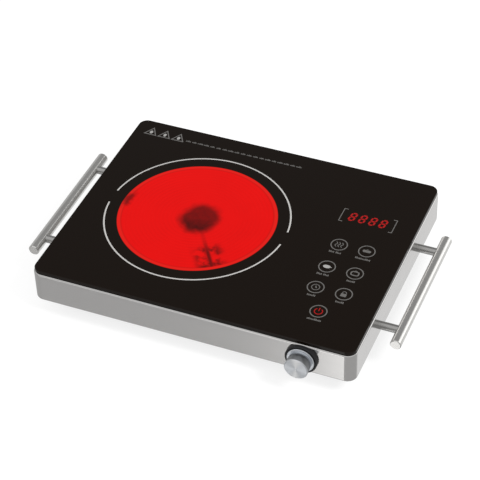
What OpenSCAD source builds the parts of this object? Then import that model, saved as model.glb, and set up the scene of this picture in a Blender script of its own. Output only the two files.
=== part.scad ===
// Portable infrared hot plate: a glass-ceramic top on a folded steel casing, with one radiant
// heater, a touch panel with a four-digit display, a front knob, a cooling fan and two bar handles.
// Millimetres. +Z is up, the knob faces -Y, and the feet stand on z = 0.

/* [Glass plate] */
// Width of the glass, left to right
glass_w = 360; // [350:5:440]
// Depth of the glass, front to back
glass_d = 280; // [270:5:340]
// Thickness of the glass
glass_t = 4; // [3:0.2:6]
// Radius of the glass corners, seen from above
glass_corner = 10; // [8:1:20]
// Ground radius along the glass edges
glass_edge = 0.8; // [0.3:0.1:1.2]
// Silicone bead between glass and casing
seal_t = 0.5; // [0.3:0.1:1]
// Width of the silicone bead
seal_w = 8; // [4:1:9]

/* [Casing] */
// Distance the steel wall stands outside the glass, on each side
casing_lip = 1; // [0.5:0.25:2.5]
// Height of the folded steel casing
casing_h = 35.5; // [34:0.5:46]
// Steel sheet thickness
sheet_t = 0.8; // [0.6:0.1:1]
// Outer radius of the folds
fold_r = 1.6; // [1.2:0.1:2.4]
// Width of the folded-in edges at the top and bottom
flange_w = 12; // [11:0.5:14]
// Number of exhaust slots in the rear wall
rear_slots = 14; // [4:1:16]

/* [Base tray and feet] */
// Depth of the tray below the casing
tray_drop = 11.5; // [10:0.5:18]
// Wall thickness of the moulded tray
tray_wall = 2; // [1.6:0.2:2.6]
// Distance from the casing's outline to the tray's rim
rim_inset = 4; // [3:0.5:6]
// Distance from the casing's outline to the tray's tub
tub_inset = 14; // [13:0.5:18]
// Height of the rubber feet
foot_h = 10; // [8:0.5:16]
// Radius of the rubber feet
foot_r = 9.5; // [8:0.5:12]

/* [Heater] */
// Distance from the glass's left edge to the heater's centre
zone_from_left = 130; // [115:1:135]
// Radius of the glowing zone
zone_r = 87.5; // [70:0.5:90]
// Thickness of the insulating ring
ring_t = 10.4; // [8:0.2:11]
// Height of the heater, from pan floor to glass
heater_h = 30.5; // [28:0.5:34]
// Pitch of the heating ribbon's loops
loop_pitch = 9; // [7:0.5:12]
// Direction of the limiter rod, seen from above
rod_angle = -56; // [-70:1:-45]

/* [Handles] */
// Diameter of the handle bars
bar_d = 12; // [8:0.5:14]
// Length of the handle bars
bar_len = 174; // [160:1:200]
// Distance between the two posts of a handle
post_span = 128; // [96:1:140]
// Diameter of the posts
post_d = 9; // [7:0.5:10]
// Distance from the casing wall to the bar's axis
bar_reach = 25.5; // [22:0.5:32]
// Distance of the handles' middle from the middle of the casing
handle_y = -2; // [-10:1:10]
// Distance of the handles below the middle of the casing's wall
handle_drop = 1.8; // [0:0.2:3]

/* [Knob] */
// Radius of the knob's front face
knob_r = 12.8; // [11:0.2:13.5]
// Distance from the casing wall to the knob's face
knob_reach = 17.8; // [15:0.2:22]
// Outer radius of the black collar
collar_r = 17.4; // [16.8:0.1:18]
// Diameter of the encoder shaft
shaft_d = 6; // [5:0.5:6.5]

/* [Control panel] */
// Distance from the glass's right edge to the panel's centre line
panel_from_right = 55; // [52:1:60]
// Distance between the two columns of touch keys
key_column = 31; // [26:1:36]
// Distance between the rows of touch keys
key_row = 34.6; // [30:0.2:36]
// Distance of the front key from the middle of the glass
front_key_y = -94; // [-100:1:-90]
// Distance of the display from the middle of the glass
display_y = 59; // [55:1:65]

/* [Fan] */
// Side of the fan's frame
fan_side = 60; // [50:1:62]
// Thickness of the fan
fan_t = 15; // [12:0.5:18]
// Number of fan blades
blades = 7; // [5:1:9]

/* [Cord inlet] */
// Diameter of the hole that the mains cord passes through
cord_hole_d = 7.6; // [6:0.2:9]

/* [Hidden] */
$fn = 96;
mesh_gap = 0.3;        // between pieces of one body that are carried close to each other
running_gap = 0.05;    // radial, round a turning shaft

casing_w = glass_w + 2 * casing_lip;
casing_d = glass_d + 2 * casing_lip;
casing_corner = glass_corner + casing_lip;

z_floor = foot_h + tray_wall;
z_casing = foot_h + tray_drop;
z_mid = z_casing + casing_h / 2;
z_handle = z_mid - handle_drop;
z_flange = z_casing + casing_h;
z_glass = z_flange + seal_t;
z_pan = z_glass - heater_h;

zone_x = -glass_w / 2 + zone_from_left;
panel_x = glass_w / 2 - panel_from_right;

// Tray
tub_w = casing_w - 2 * tub_inset;
tub_d = casing_d - 2 * tub_inset;
tub_corner = 12;
slot_w = 3;
foot_x = tub_w / 2 - 17;
foot_y = tub_d / 2 - 19;
foot_spots = [for (x = [-foot_x, foot_x], y = [-foot_y, foot_y]) [x, y]];
foot_boss_h = 6;
foot_boss_r = 4.5;
rim_screw_line = (rim_inset + flange_w) / 2;
rim_screw_x = casing_w / 2 - rim_screw_line;
rim_screw_y = casing_d / 2 - rim_screw_line;
rim_spots = concat(
    [for (x = [-casing_w / 3, 0, casing_w / 3], s = [-1, 1]) [x, s * rim_screw_y]],
    [for (y = [-casing_d / 3.4, casing_d / 3.4], s = [-1, 1]) [s * rim_screw_x, y]]
);
board_boss_h = 5;
board_boss_r = 3.5;

// Screws
m3_r = 1.5;
m4_r = 2;
m3_head_r = 2.8;
m4_head_r = 4;
m3_head_h = 1.8;
m4_head_h = 2.4;
screw_slack = 0.25;

// Heater
pan_t = 0.6;
pan_in_r = zone_r + ring_t;
pan_out_r = pan_in_r + pan_t;
base_t = 12;
z_base = z_pan + pan_t;
z_coil = z_base + base_t;
pan_wall_h = heater_h - 4;
ribbon_t = 0.8;
ribbon_h = 4;
coil_out_r = zone_r - 6;
hub_r = 13;
loops = floor((coil_out_r - hub_r - 3) / loop_pitch) + 1;
track_gap = 9;
ribbon_lap = 0.4;
rod_r = 2.5;
rod_z = z_coil + ribbon_h + 4.5;
rod_end_r = 10;
head_w = 26;
head_d = 30;
head_h = 14;
head_low = 4;
head_neck = 4;
bracket_t = 6;
block_lap = 3;
terminal_turn = 18;
terminal_w = 26;
terminal_d = 10;
terminal_low = 2;
terminal_high = 16;
tab_w = 6.3;
tab_t = 0.8;
tab_len = 10;
tab_side = 6.5;
tab_z = 8;
tab_r = pan_out_r + terminal_d - 1;
spring_count = 3;
spring_ring_r = 62;
spring_r = 6;
spring_wire = 1.2;
spigot_r = 4;
spigot_h = 5;

// Electronics
board_t = 1.6;
z_board = z_floor + board_boss_h;
power_w = 90;
power_d = 136;
power_x = panel_x - 10;
power_y = -31;
board_screw_inset = 5;
power_spots = [for (x = [-1, 1], y = [-1, 1])
    [power_x + x * (power_w / 2 - board_screw_inset), power_y + y * (power_d / 2 - board_screw_inset)]];
relay_spot = [-26, -38];
transformer_spot = [20, -30];
capacitor_spot = [22, 6];
sink_spot = [-14, 30];
terminal_spot = [20, 44];
cable_spot = [25, 16];
panel_w = 68;
panel_d = 182;
panel_y = (display_y + front_key_y) / 2 + 2;
panel_plate_t = 2;
spring_pad_h = 9.4;
z_panel_board = z_glass - spring_pad_h - board_t;
z_panel_plate = z_panel_board - panel_plate_t;
leg_r = 4;
leg_x = panel_w / 2 + 1;
leg_front_y = power_y - power_d / 2 - 8;
leg_rear_y = power_y + power_d / 2 + 8;
leg_spots = [
    [panel_x - leg_x, leg_front_y],
    [foot_x - foot_r - leg_r - 2, leg_front_y],
    [panel_x - leg_x, leg_rear_y],
    [panel_x + leg_x, leg_rear_y]
];
key_spots = concat(
    [for (row = [1:3], side = [-1, 1])
        [panel_x + side * key_column / 2, front_key_y + row * key_row]],
    [[panel_x, front_key_y]]
);
display_w = 50;
display_d = 19;
display_gap = 0.5;
shield_x = zone_x + pan_out_r + 6;
shield_t = 0.6;
shield_len = 186;
shield_foot = 10;
shield_h = 34;
shield_spots = [for (s = [-1, 1]) [shield_x + 5.5, s * (shield_len / 2 - 12)]];

// Fan
fan_x = panel_x - 13;
fan_y = leg_rear_y + leg_r + 4 + fan_side / 2;
fan_boss_h = 4;
fan_boss_r = 4;
z_fan = z_floor + fan_boss_h;
fan_bore_r = fan_side / 2 - 2;
fan_hole = fan_side / 2 - 5;
fan_spots = [for (x = [-fan_hole, fan_hole], y = [-fan_hole, fan_hole]) [fan_x + x, fan_y + y]];
hub_cup_r = 13;
hub_plate_t = 2.4;
hub_plate_r = 14;
bearing_r = 2.6;
fan_shaft_r = 1;
blade_t = 1.2;
tip_gap = 1;
coil_in_r = 3.6;
fan_coil_r = 10.6;

// Knob and encoder, along the knob's own axis from the casing's outer face
knob_x = panel_x;
collar_disc_t = 1;
collar_rim_h = 3.6;
collar_rim_t = 2;
collar_gap = 0.5;
skirt_r = collar_r - collar_rim_t - collar_gap;
knob_back = 1.6;
skirt_h = 3.2;
knob_cavity_r = 9;
core_back = 8.2;
knob_face_t = 1.8;
bushing_r = 3.5;
bushing_out = 6.4;
nut_af = 10;
nut_t = 2;
washer_t = 0.5;
encoder_side = 12.4;
encoder_depth = 7;
shaft_r = shaft_d / 2;

// Handles
bar_r = bar_d / 2;
post_r = post_d / 2;
post_spots = [for (s = [-1, 1]) handle_y + s * post_span / 2];
tenon_r = 2.5;
tenon_len = 5;
plate_t = 1.5;
plate_h = 18;
plate_over = 14;
post_thread = 12;

// Cord gland
gland_x = panel_x + 25;
gland_flange_r = 10;
gland_flange_t = 4;
gland_body_r = 7;
gland_inside = 12;
gland_nut_af = 19;
gland_nut_t = 4;

// The origin is the middle of the whole appliance's footprint
front_reach = knob_reach;
rear_reach = gland_flange_t;
middle_y = (front_reach - rear_reach) / 2;

// Leads: their routes are points chosen by hand, measured from the pieces that they pass
lead_r = 1.3;
signal_r = 1.1;
lead_gap = 0.4;

// ---------------------------------------------------------------- helpers

// A rectangle with rounded corners, centred
module rounded(w, d, r) {
    square([w - 2 * r, d], center = true);
    square([w, d - 2 * r], center = true);
    for (x = [-1, 1], y = [-1, 1])
        translate([x * (w / 2 - r), y * (d / 2 - r)])
            circle(r);
}

// A slot with round ends, along X
module slot(len, w) {
    square([len - w, w], center = true);
    for (s = [-1, 1])
        translate([s * (len - w) / 2, 0])
            circle(w / 2);
}

// Sweeps a profile round a rounded rectangle. The profile's x is measured outwards from the
// corners' axes, so x = r lies on the rectangle's outline, and its y becomes z.
module round_the_rim(w, d, r) {
    for (turn = [0:3]) {
        across = turn % 2 == 0 ? w : d;
        along = turn % 2 == 0 ? d : w;
        rotate(turn * 90) {
            translate([-(across / 2 - r), along / 2 - r, 0])
                rotate([90, 0, 90])
                    linear_extrude(across - 2 * r)
                        children();
            translate([across / 2 - r, along / 2 - r, 0])
                rotate_extrude(angle = 90)
                    children();
        }
    }
}

// A quarter of a ring, in the quadrant x > 0, y > 0
module quarter_ring(r, t) {
    intersection() {
        difference() {
            circle(r);
            circle(r - t);
        }
        square(r + 1);
    }
}

// Places the children at each of the spots, at one height
module at_spots(spots, z) {
    for (p = spots)
        translate([p[0], p[1], z])
            children();
}

// A pan-head screw with a cross recess, its head's seat at z = 0 and its shank going down
module screw(r, len, head_r, head_h) {
    difference() {
        union() {
            translate([0, 0, -len])
                cylinder(r = r, h = len);
            cylinder(r = head_r, h = head_h * 0.55);
            translate([0, 0, head_h * 0.55])
                cylinder(r1 = head_r, r2 = head_r * 0.7, h = head_h * 0.45);
        }
        for (turn = [0, 90])
            rotate(turn)
                translate([-head_r * 0.5, -head_r * 0.12, head_h * 0.4])
                    cube([head_r, head_r * 0.24, head_h]);
    }
}

// A hexagonal nut with a round hole, from z = 0
module hex_nut(af, t, hole_r) {
    difference() {
        cylinder(r = af / sqrt(3), h = t, $fn = 6);
        translate([0, 0, -1])
            cylinder(r = hole_r, h = t + 2);
    }
}

// A tube along a list of points: rings of sides points, square to the path
function unit(v) = v / norm(v);
function heading(path, i) =
    unit(path[min(i + 1, len(path) - 1)] - path[max(i - 1, 0)]);
function first_side(t) = unit(cross(t, abs(t[2]) > 0.7 ? [1, 0, 0] : [0, 0, 1]));
function square_to(v, t) = unit(v - (v * t) * t);
function sides_along(path) = [
    for (i = 0, u = first_side(heading(path, 0)); i < len(path);
        i = i + 1, u = square_to(u, heading(path, min(i, len(path) - 1)))) u];
module tube_along(path, r, sides) {
    n = len(path);
    across = sides_along(path);
    points = [for (i = [0:n - 1])
        let (u = across[i], v = cross(heading(path, i), u))
        for (k = [0:sides - 1])
            path[i] + r * (cos(360 * k / sides) * u + sin(360 * k / sides) * v)];
    walls = [for (i = [0:n - 2], k = [0:sides - 1])
        let (a = i * sides + k, b = i * sides + (k + 1) % sides)
        [a, a + sides, b + sides, b]];
    start = [[for (k = [0:sides - 1]) k]];
    end = [[for (k = [sides - 1:-1:0]) (n - 1) * sides + k]];
    polyhedron(points = points, faces = concat(start, walls, end));
}

// Points of a smooth curve through a list of points, with steps points in each stretch
function bend_point(a, b, c, d, t) = 0.5 * (
    2 * b + (c - a) * t + (2 * a - 5 * b + 4 * c - d) * t * t + (3 * b - a - 3 * c + d) * t * t * t);
function smooth_path(p, steps) = concat(
    [for (i = [0:len(p) - 2], k = [0:steps - 1])
        bend_point(p[max(i - 1, 0)], p[i], p[i + 1], p[min(i + 2, len(p) - 1)], k / steps)],
    [p[len(p) - 1]]);

// Points of a coil spring with closed, flattened ends
function coil_path(r, h, turns, per_turn) = [for (i = [0:turns * per_turn])
    let (s = i / (turns * per_turn), eased = s * s * (3 - 2 * s))
    [r * cos(360 * i / per_turn), r * sin(360 * i / per_turn), h * eased]];

// ---------------------------------------------------------------- glass and casing

module glass_plate() {
    inner = 1;
    color([0.03, 0.03, 0.03])
        translate([0, 0, z_glass]) {
            round_the_rim(glass_w, glass_d, glass_corner)
                union() {
                    translate([inner, 0])
                        square([glass_corner - glass_edge - inner, glass_t]);
                    translate([inner, glass_edge])
                        square([glass_corner - inner, glass_t - 2 * glass_edge]);
                    for (y = [glass_edge, glass_t - glass_edge])
                        translate([glass_corner - glass_edge, y])
                            circle(glass_edge);
                }
            linear_extrude(glass_t)
                rounded(glass_w - 2 * (glass_corner - inner), glass_d - 2 * (glass_corner - inner), inner);
        }
}

module glass_seal() {
    inset = 1.5;
    color([0.12, 0.12, 0.12])
        translate([0, 0, z_flange])
            linear_extrude(seal_t)
                difference() {
                    rounded(glass_w - 2 * inset, glass_d - 2 * inset, glass_corner - inset);
                    rounded(glass_w - 2 * (inset + seal_w), glass_d - 2 * (inset + seal_w), 2);
                }
}

// The folded sheet's section: wall, two folds and the start of each flange
module casing_section() {
    stub = 1;
    r = casing_corner;
    translate([r - sheet_t, fold_r])
        square([sheet_t, casing_h - 2 * fold_r]);
    translate([r - fold_r, casing_h - fold_r])
        quarter_ring(fold_r, sheet_t);
    translate([r - fold_r, fold_r])
        mirror([0, 1])
            quarter_ring(fold_r, sheet_t);
    for (y = [0, casing_h - sheet_t])
        translate([stub, y])
            square([r - fold_r - stub, sheet_t]);
}

module casing_flange() {
    outer = casing_corner - 1;
    linear_extrude(sheet_t)
        difference() {
            rounded(casing_w - 2 * outer, casing_d - 2 * outer, 1);
            rounded(casing_w - 2 * flange_w, casing_d - 2 * flange_w, 0.5);
        }
}

module rear_slot_row() {
    pitch = 9;
    slot_h = 18;
    start = -casing_w / 2 + 60;
    for (i = [0:rear_slots - 1])
        translate([start + i * pitch, casing_d / 2 + 1, z_mid])
            rotate([90, 90, 0])
                linear_extrude(3)
                    slot(slot_h, slot_w);
}

module casing() {
    color([0.72, 0.72, 0.73])
        difference() {
            translate([0, 0, z_casing]) {
                round_the_rim(casing_w, casing_d, casing_corner)
                    casing_section();
                casing_flange();
                translate([0, 0, casing_h - sheet_t])
                    casing_flange();
            }
            rear_slot_row();
            for (s = [-1, 1], y = post_spots)
                translate([s * casing_w / 2, y, z_handle])
                    rotate([0, 90, 0])
                        cylinder(r = m4_r + screw_slack, h = 4, center = true);
            translate([knob_x, -casing_d / 2, z_mid])
                rotate([90, 0, 0])
                    cylinder(r = bushing_r + screw_slack, h = 4, center = true);
            translate([gland_x, casing_d / 2, z_mid])
                rotate([90, 0, 0])
                    cylinder(r = gland_body_r, h = 4, center = true);
            at_spots(rim_spots, z_casing - 1)
                cylinder(r = m3_r, h = sheet_t + 2);
        }
}

// ---------------------------------------------------------------- base tray and feet

module fan_grille() {
    bars = 2.4;
    for (r = [8:5:fan_bore_r - 3])
        difference() {
            circle(r + slot_w / 2);
            circle(r - slot_w / 2);
            for (turn = [0:60:120])
                rotate(turn)
                    square([2 * fan_side, bars], center = true);
        }
}

module heater_vents() {
    slot_len = 30;
    for (x = [-2:2], y = [-3:3])
        if (abs(x) + abs(y) < 5)
            translate([zone_x + x * 34, y * 11])
                slot(slot_len, slot_w);
}

module tray_bosses() {
    at_spots(foot_spots, z_floor)
        cylinder(r = foot_boss_r, h = foot_boss_h);
    at_spots(power_spots, z_floor)
        cylinder(r = board_boss_r, h = board_boss_h);
    at_spots(shield_spots, z_floor)
        cylinder(r = board_boss_r, h = board_boss_h);
    at_spots(fan_spots, z_floor)
        cylinder(r = fan_boss_r, h = fan_boss_h);
    for (i = [0:spring_count - 1])
        translate([zone_x, 0, z_floor])
            rotate(i * 360 / spring_count)
                translate([spring_ring_r, 0, 0])
                    cylinder(r = spigot_r, h = spigot_h);
}

module base_tray() {
    rim_w = casing_w - 2 * rim_inset;
    rim_d = casing_d - 2 * rim_inset;
    color([0.07, 0.07, 0.075])
        difference() {
            union() {
                translate([0, 0, z_casing - tray_wall])
                    linear_extrude(tray_wall)
                        difference() {
                            rounded(rim_w, rim_d, casing_corner - rim_inset);
                            rounded(tub_w - 2 * tray_wall, tub_d - 2 * tray_wall, tub_corner - tray_wall);
                        }
                translate([0, 0, foot_h])
                    linear_extrude(tray_drop - tray_wall)
                        difference() {
                            rounded(tub_w, tub_d, tub_corner);
                            rounded(tub_w - 2 * tray_wall, tub_d - 2 * tray_wall, tub_corner - tray_wall);
                        }
                translate([0, 0, foot_h])
                    linear_extrude(tray_wall)
                        difference() {
                            rounded(tub_w - tray_wall, tub_d - tray_wall, tub_corner - tray_wall / 2);
                            heater_vents();
                            translate([fan_x, fan_y])
                                fan_grille();
                        }
                tray_bosses();
            }
            at_spots(foot_spots, foot_h - 1)
                cylinder(r = m3_r, h = tray_wall + foot_boss_h - 1);
            for (spots = [power_spots, shield_spots])
                at_spots(spots, z_floor)
                    cylinder(r = m3_r, h = board_boss_h + 1);
            at_spots(fan_spots, z_floor - 0.5)
                cylinder(r = m3_r, h = fan_boss_h + 2);
            at_spots(leg_spots, foot_h - 1)
                cylinder(r = m3_r + screw_slack, h = tray_wall + 2);
            at_spots(rim_spots, z_casing - tray_wall - 1)
                cylinder(r = m3_r + screw_slack, h = tray_wall + 2);
        }
}

module foot(spot) {
    color([0.05, 0.05, 0.05])
        translate([spot[0], spot[1], 0])
            difference() {
                union() {
                    cylinder(r1 = foot_r - 1, r2 = foot_r, h = 2);
                    translate([0, 0, 2])
                        cylinder(r = foot_r, h = foot_h - 2);
                }
                translate([0, 0, -1])
                    cylinder(r = m3_head_r + 1, h = foot_h - 3 + 1);
                cylinder(r = m3_r + screw_slack, h = foot_h + 1);
            }
}

module foot_screws() {
    color([0.6, 0.6, 0.6])
        at_spots(foot_spots, foot_h - 3)
            rotate([180, 0, 0])
                screw(m3_r, foot_boss_h + 2, m3_head_r, m3_head_h);
}

module rim_screws() {
    color([0.6, 0.6, 0.6])
        at_spots(rim_spots, z_casing - tray_wall)
            rotate([180, 0, 0])
                screw(m3_r, tray_wall + sheet_t + 2, m3_head_r, m3_head_h);
}

// ---------------------------------------------------------------- handles

// side is -1 for the left handle and 1 for the right one
module bar_axis(side) {
    translate([side * (casing_w / 2 + bar_reach), 0, z_handle])
        children();
}

module handle_bar(side) {
    edge = 0.8;
    color([0.75, 0.75, 0.75])
        bar_axis(side)
            difference() {
                translate([0, handle_y, 0])
                    rotate([90, 0, 0]) {
                        cylinder(r = bar_r, h = bar_len - 2 * edge, center = true);
                        for (s = [-1, 1])
                            translate([0, 0, s * (bar_len - edge) / 2])
                                cylinder(
                                    r1 = s < 0 ? bar_r - edge : bar_r,
                                    r2 = s < 0 ? bar_r : bar_r - edge,
                                    h = edge, center = true);
                    }
                for (y = post_spots)
                    translate([0, y, 0])
                        rotate([0, -side * 90, 0])
                            translate([0, 0, bar_r - tenon_len])
                                cylinder(r = tenon_r, h = tenon_len + 1);
            }
}

module handle_post(side, y) {
    body_len = bar_reach - bar_r;
    color([0.7, 0.7, 0.7])
        difference() {
            translate([side * casing_w / 2, y, z_handle])
                rotate([0, side * 90, 0]) {
                    cylinder(r = post_r, h = body_len + tenon_len);
                    translate([0, 0, body_len])
                        cylinder(r = tenon_r, h = tenon_len);
                }
            difference() {
                bar_axis(side)
                    rotate([90, 0, 0])
                        cylinder(r = bar_r, h = 4 * casing_d, center = true);
                translate([side * casing_w / 2, y, z_handle])
                    rotate([0, side * 90, 0])
                        cylinder(r = tenon_r, h = bar_reach + tenon_len);
            }
            translate([side * (casing_w / 2 - 1), y, z_handle])
                rotate([0, side * 90, 0])
                    cylinder(r = m4_r, h = post_thread + 1);
        }
}

module handle_plate(side) {
    color([0.62, 0.63, 0.64])
        translate([side * (casing_w / 2 - sheet_t - plate_t / 2), handle_y, z_handle])
            rotate([90, 0, 90])
                difference() {
                    linear_extrude(plate_t, center = true)
                        rounded(post_span + 2 * plate_over, plate_h, 4);
                    for (s = [-1, 1])
                        translate([s * post_span / 2, 0, 0])
                            cylinder(r = m4_r + screw_slack, h = plate_t + 2, center = true);
                }
}

module handle_screws() {
    seat = sheet_t + plate_t;
    color([0.6, 0.6, 0.6])
        for (side = [-1, 1], y = post_spots)
            translate([side * (casing_w / 2 - seat), y, z_handle])
                rotate([0, -side * 90, 0])
                    screw(m4_r, seat + post_thread - 1, m4_head_r, m4_head_h);
}

// ---------------------------------------------------------------- knob and encoder

module on_knob_axis() {
    translate([knob_x, -casing_d / 2, z_mid])
        rotate([90, 0, 0])
            children();
}

module knob_cap() {
    edge = 0.9;
    waist = skirt_h + knob_back;
    cavity_top = knob_reach - knob_face_t;
    color([0.8, 0.8, 0.82])
        on_knob_axis()
            rotate_extrude()
                difference() {
                    union() {
                        translate([0, knob_back])
                            square([skirt_r - edge, skirt_h]);
                        translate([0, knob_back + edge])
                            square([skirt_r, skirt_h - 2 * edge]);
                        for (y = [knob_back + edge, waist - edge])
                            translate([skirt_r - edge, y])
                                circle(edge);
                        polygon([
                            [0, waist], [knob_r - 0.6, waist],
                            [knob_r, knob_reach - edge], [knob_r - edge, knob_reach],
                            [0, knob_reach]
                        ]);
                    }
                    translate([-1, knob_back - 1])
                        square([knob_cavity_r + 1, cavity_top - knob_back + 1]);
                }
}

module knob_core() {
    color([0.15, 0.15, 0.16])
        on_knob_axis()
            difference() {
                translate([0, 0, core_back])
                    cylinder(r = knob_cavity_r, h = knob_reach - knob_face_t - core_back);
                translate([0, 0, core_back - 1])
                    cylinder(r = shaft_r, h = knob_reach - knob_face_t - core_back);
            }
}

module knob_collar() {
    color([0.05, 0.05, 0.05])
        on_knob_axis()
            rotate_extrude() {
                translate([bushing_r + screw_slack, 0])
                    square([collar_r - bushing_r - screw_slack, collar_disc_t]);
                translate([collar_r - collar_rim_t, 0])
                    square([collar_rim_t, collar_rim_h - 0.5]);
                translate([collar_r - collar_rim_t, collar_rim_h - 0.5])
                    polygon([[0, 0], [collar_rim_t, 0], [collar_rim_t - 0.5, 0.5], [0.5, 0.5]]);
            }
}

module encoder_body() {
    inside = sheet_t;
    color([0.45, 0.47, 0.45])
        on_knob_axis()
            difference() {
                union() {
                    translate([-encoder_side / 2, -encoder_side / 2, -inside - encoder_depth])
                        cube([encoder_side, encoder_side, encoder_depth]);
                    translate([0, 0, -inside - 1])
                        cylinder(r = bushing_r, h = bushing_out + inside + 1);
                    for (x = [-5, 0, 5])
                        translate([x - 0.5, -encoder_side / 2 - 4, -inside - encoder_depth + 1.5])
                            cube([1, 5, 0.6]);
                }
                translate([0, 0, -inside - encoder_depth + 2])
                    cylinder(r = shaft_r - 0.5 + running_gap, h = encoder_depth);
                translate([0, 0, -inside - 1])
                    cylinder(r = shaft_r - 0.5 + running_gap, h = bushing_out + inside + 2);
            }
}

module encoder_shaft() {
    neck = shaft_r - 0.5;
    top = knob_reach - knob_face_t - 1;
    color([0.7, 0.7, 0.68])
        on_knob_axis() {
            translate([0, 0, -sheet_t - encoder_depth + 2 + running_gap])
                cylinder(r = neck, h = bushing_out + sheet_t + encoder_depth - 1.5);
            translate([0, 0, bushing_out + 0.3])
                cylinder(r = shaft_r, h = top - bushing_out - 0.3);
        }
}

module encoder_washer() {
    color([0.62, 0.62, 0.6])
        on_knob_axis()
            translate([0, 0, collar_disc_t])
                difference() {
                    cylinder(r = 5.6, h = washer_t);
                    translate([0, 0, -1])
                        cylinder(r = bushing_r + screw_slack, h = washer_t + 2);
                }
}

module encoder_nut() {
    color([0.66, 0.66, 0.64])
        on_knob_axis()
            translate([0, 0, collar_disc_t + washer_t])
                hex_nut(nut_af, nut_t, bushing_r);
}

// ---------------------------------------------------------------- heater

module at_heater(z) {
    translate([zone_x, 0, z])
        children();
}

// Cuts the way of the limiter rod through the heater's wall
module rod_way(r) {
    translate([0, 0, rod_z])
        rotate([0, 90, rod_angle])
            cylinder(r = r, h = pan_out_r + 20);
}

module heater_pan() {
    color([0.62, 0.62, 0.64])
        at_heater(0)
            difference() {
                translate([0, 0, z_pan])
                    cylinder(r = pan_out_r, h = pan_wall_h);
                translate([0, 0, z_base])
                    cylinder(r = pan_in_r, h = pan_wall_h);
                rod_way(rod_r + 1);
            }
}

module insulation_base() {
    color([0.86, 0.84, 0.78])
        at_heater(z_base) {
            cylinder(r = pan_in_r, h = base_t);
            translate([0, 0, base_t])
                cylinder(r = hub_r - 3, h = ribbon_h - 1);
        }
}

module insulation_ring() {
    color([0.8, 0.76, 0.66])
        at_heater(0)
            difference() {
                translate([0, 0, z_coil])
                    cylinder(r = pan_in_r, h = z_glass - z_coil);
                translate([0, 0, z_coil - 1])
                    cylinder(r = zone_r, h = z_glass - z_coil + 2);
                rod_way(rod_r + 1);
            }
}

// One ribbon folded back and forth in loops round the hub. Its turns leave a track free, which
// the limiter rod's line follows.
function loop_r(i) = coil_out_r - i * loop_pitch;
function loop_end(i) = sqrt(loop_r(i) * loop_r(i) - track_gap * track_gap);

module ribbon_loop(i) {
    difference() {
        circle(loop_r(i) + ribbon_t / 2);
        circle(loop_r(i) - ribbon_t / 2);
        translate([0, -track_gap + ribbon_lap])
            square([loop_r(i) + 1, 2 * (track_gap - ribbon_lap)]);
    }
}

// A half turn that joins one loop to the next, on the track's side y > 0
module ribbon_turn(i) {
    turn_r = (loop_end(i) - loop_end(i + 1)) / 2;
    translate([loop_end(i + 1) + turn_r, track_gap])
        difference() {
            circle(turn_r + ribbon_t / 2);
            circle(turn_r - ribbon_t / 2);
            translate([-2 * turn_r, 0])
                square([4 * turn_r, 2 * turn_r]);
        }
}

module heating_ribbon() {
    color([0.75, 0.2, 0.1])
        at_heater(z_coil)
            rotate(rod_angle)
                linear_extrude(ribbon_h) {
                    for (i = [0:loops - 1])
                        ribbon_loop(i);
                    for (i = [0:loops - 2])
                        mirror([0, i % 2])
                            ribbon_turn(i);
                }
}

module limiter_rod() {
    color([0.5, 0.48, 0.46])
        at_heater(rod_z)
            rotate(rod_angle)
                rotate([0, 90, 0])
                    translate([0, 0, -rod_end_r])
                        cylinder(r = rod_r, h = pan_out_r + bracket_t + rod_end_r);
}

// The ceramic switch head, on a narrower block that seats on the pan's wall
module limiter_head() {
    bottom = z_pan + pan_wall_h - head_h - head_low;
    tall = head_h + head_low;
    color([0.88, 0.87, 0.82])
        at_heater(0)
            difference() {
                rotate(rod_angle) {
                    translate([pan_out_r - block_lap, -head_w / 2 + head_neck, bottom])
                        cube([bracket_t + block_lap, head_w - 2 * head_neck, tall]);
                    translate([pan_out_r + bracket_t - 0.5, -head_w / 2, bottom])
                        cube([head_d, head_w, tall]);
                }
                cylinder(r = pan_out_r, h = z_glass);
                rod_way(rod_r);
            }
}

// A ceramic block with two flat tabs, seated on the pan's wall beside the limiter
module heater_terminal() {
    color([0.9, 0.89, 0.85])
        at_heater(z_pan)
            difference() {
                rotate(rod_angle - terminal_turn) {
                    translate([pan_out_r - block_lap, -terminal_w / 2, terminal_low])
                        cube([terminal_d + block_lap, terminal_w, terminal_high - terminal_low]);
                    for (s = [-1, 1])
                        translate([tab_r, s * tab_side - tab_w / 2, tab_z])
                            cube([tab_len, tab_w, tab_t]);
                }
                cylinder(r = pan_out_r, h = z_glass);
            }
}

module heater_springs() {
    height = z_pan - z_floor - spring_wire;
    color([0.55, 0.55, 0.55])
        for (i = [0:spring_count - 1])
            at_heater(z_floor + spring_wire / 2)
                rotate(i * 360 / spring_count)
                    translate([spring_ring_r, 0, 0])
                        tube_along(coil_path(spring_r, height, 4, 14), spring_wire / 2, 8);
}

// A bead pressed to the glass on a bent strip that lies against the pan's wall
module glass_sensor() {
    strip_w = 8;
    strip_t = 0.6;
    strip_low = 6;
    arm = 8;
    bead_r = 2.2;
    bead_h = 3;
    start = pan_out_r + 0.05;
    arm_z = z_glass - bead_h - strip_t;
    color([0.75, 0.73, 0.7])
        at_heater(0)
            rotate(180) {
                translate([start, -strip_w / 2, z_pan + strip_low])
                    cube([strip_t, strip_w, arm_z + strip_t - z_pan - strip_low]);
                translate([start, -strip_w / 2, arm_z])
                    cube([arm, strip_w, strip_t]);
                translate([start + arm - bead_r - strip_t, 0, arm_z + strip_t / 2])
                    cylinder(r = bead_r, h = bead_h + strip_t / 2);
            }
}

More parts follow.
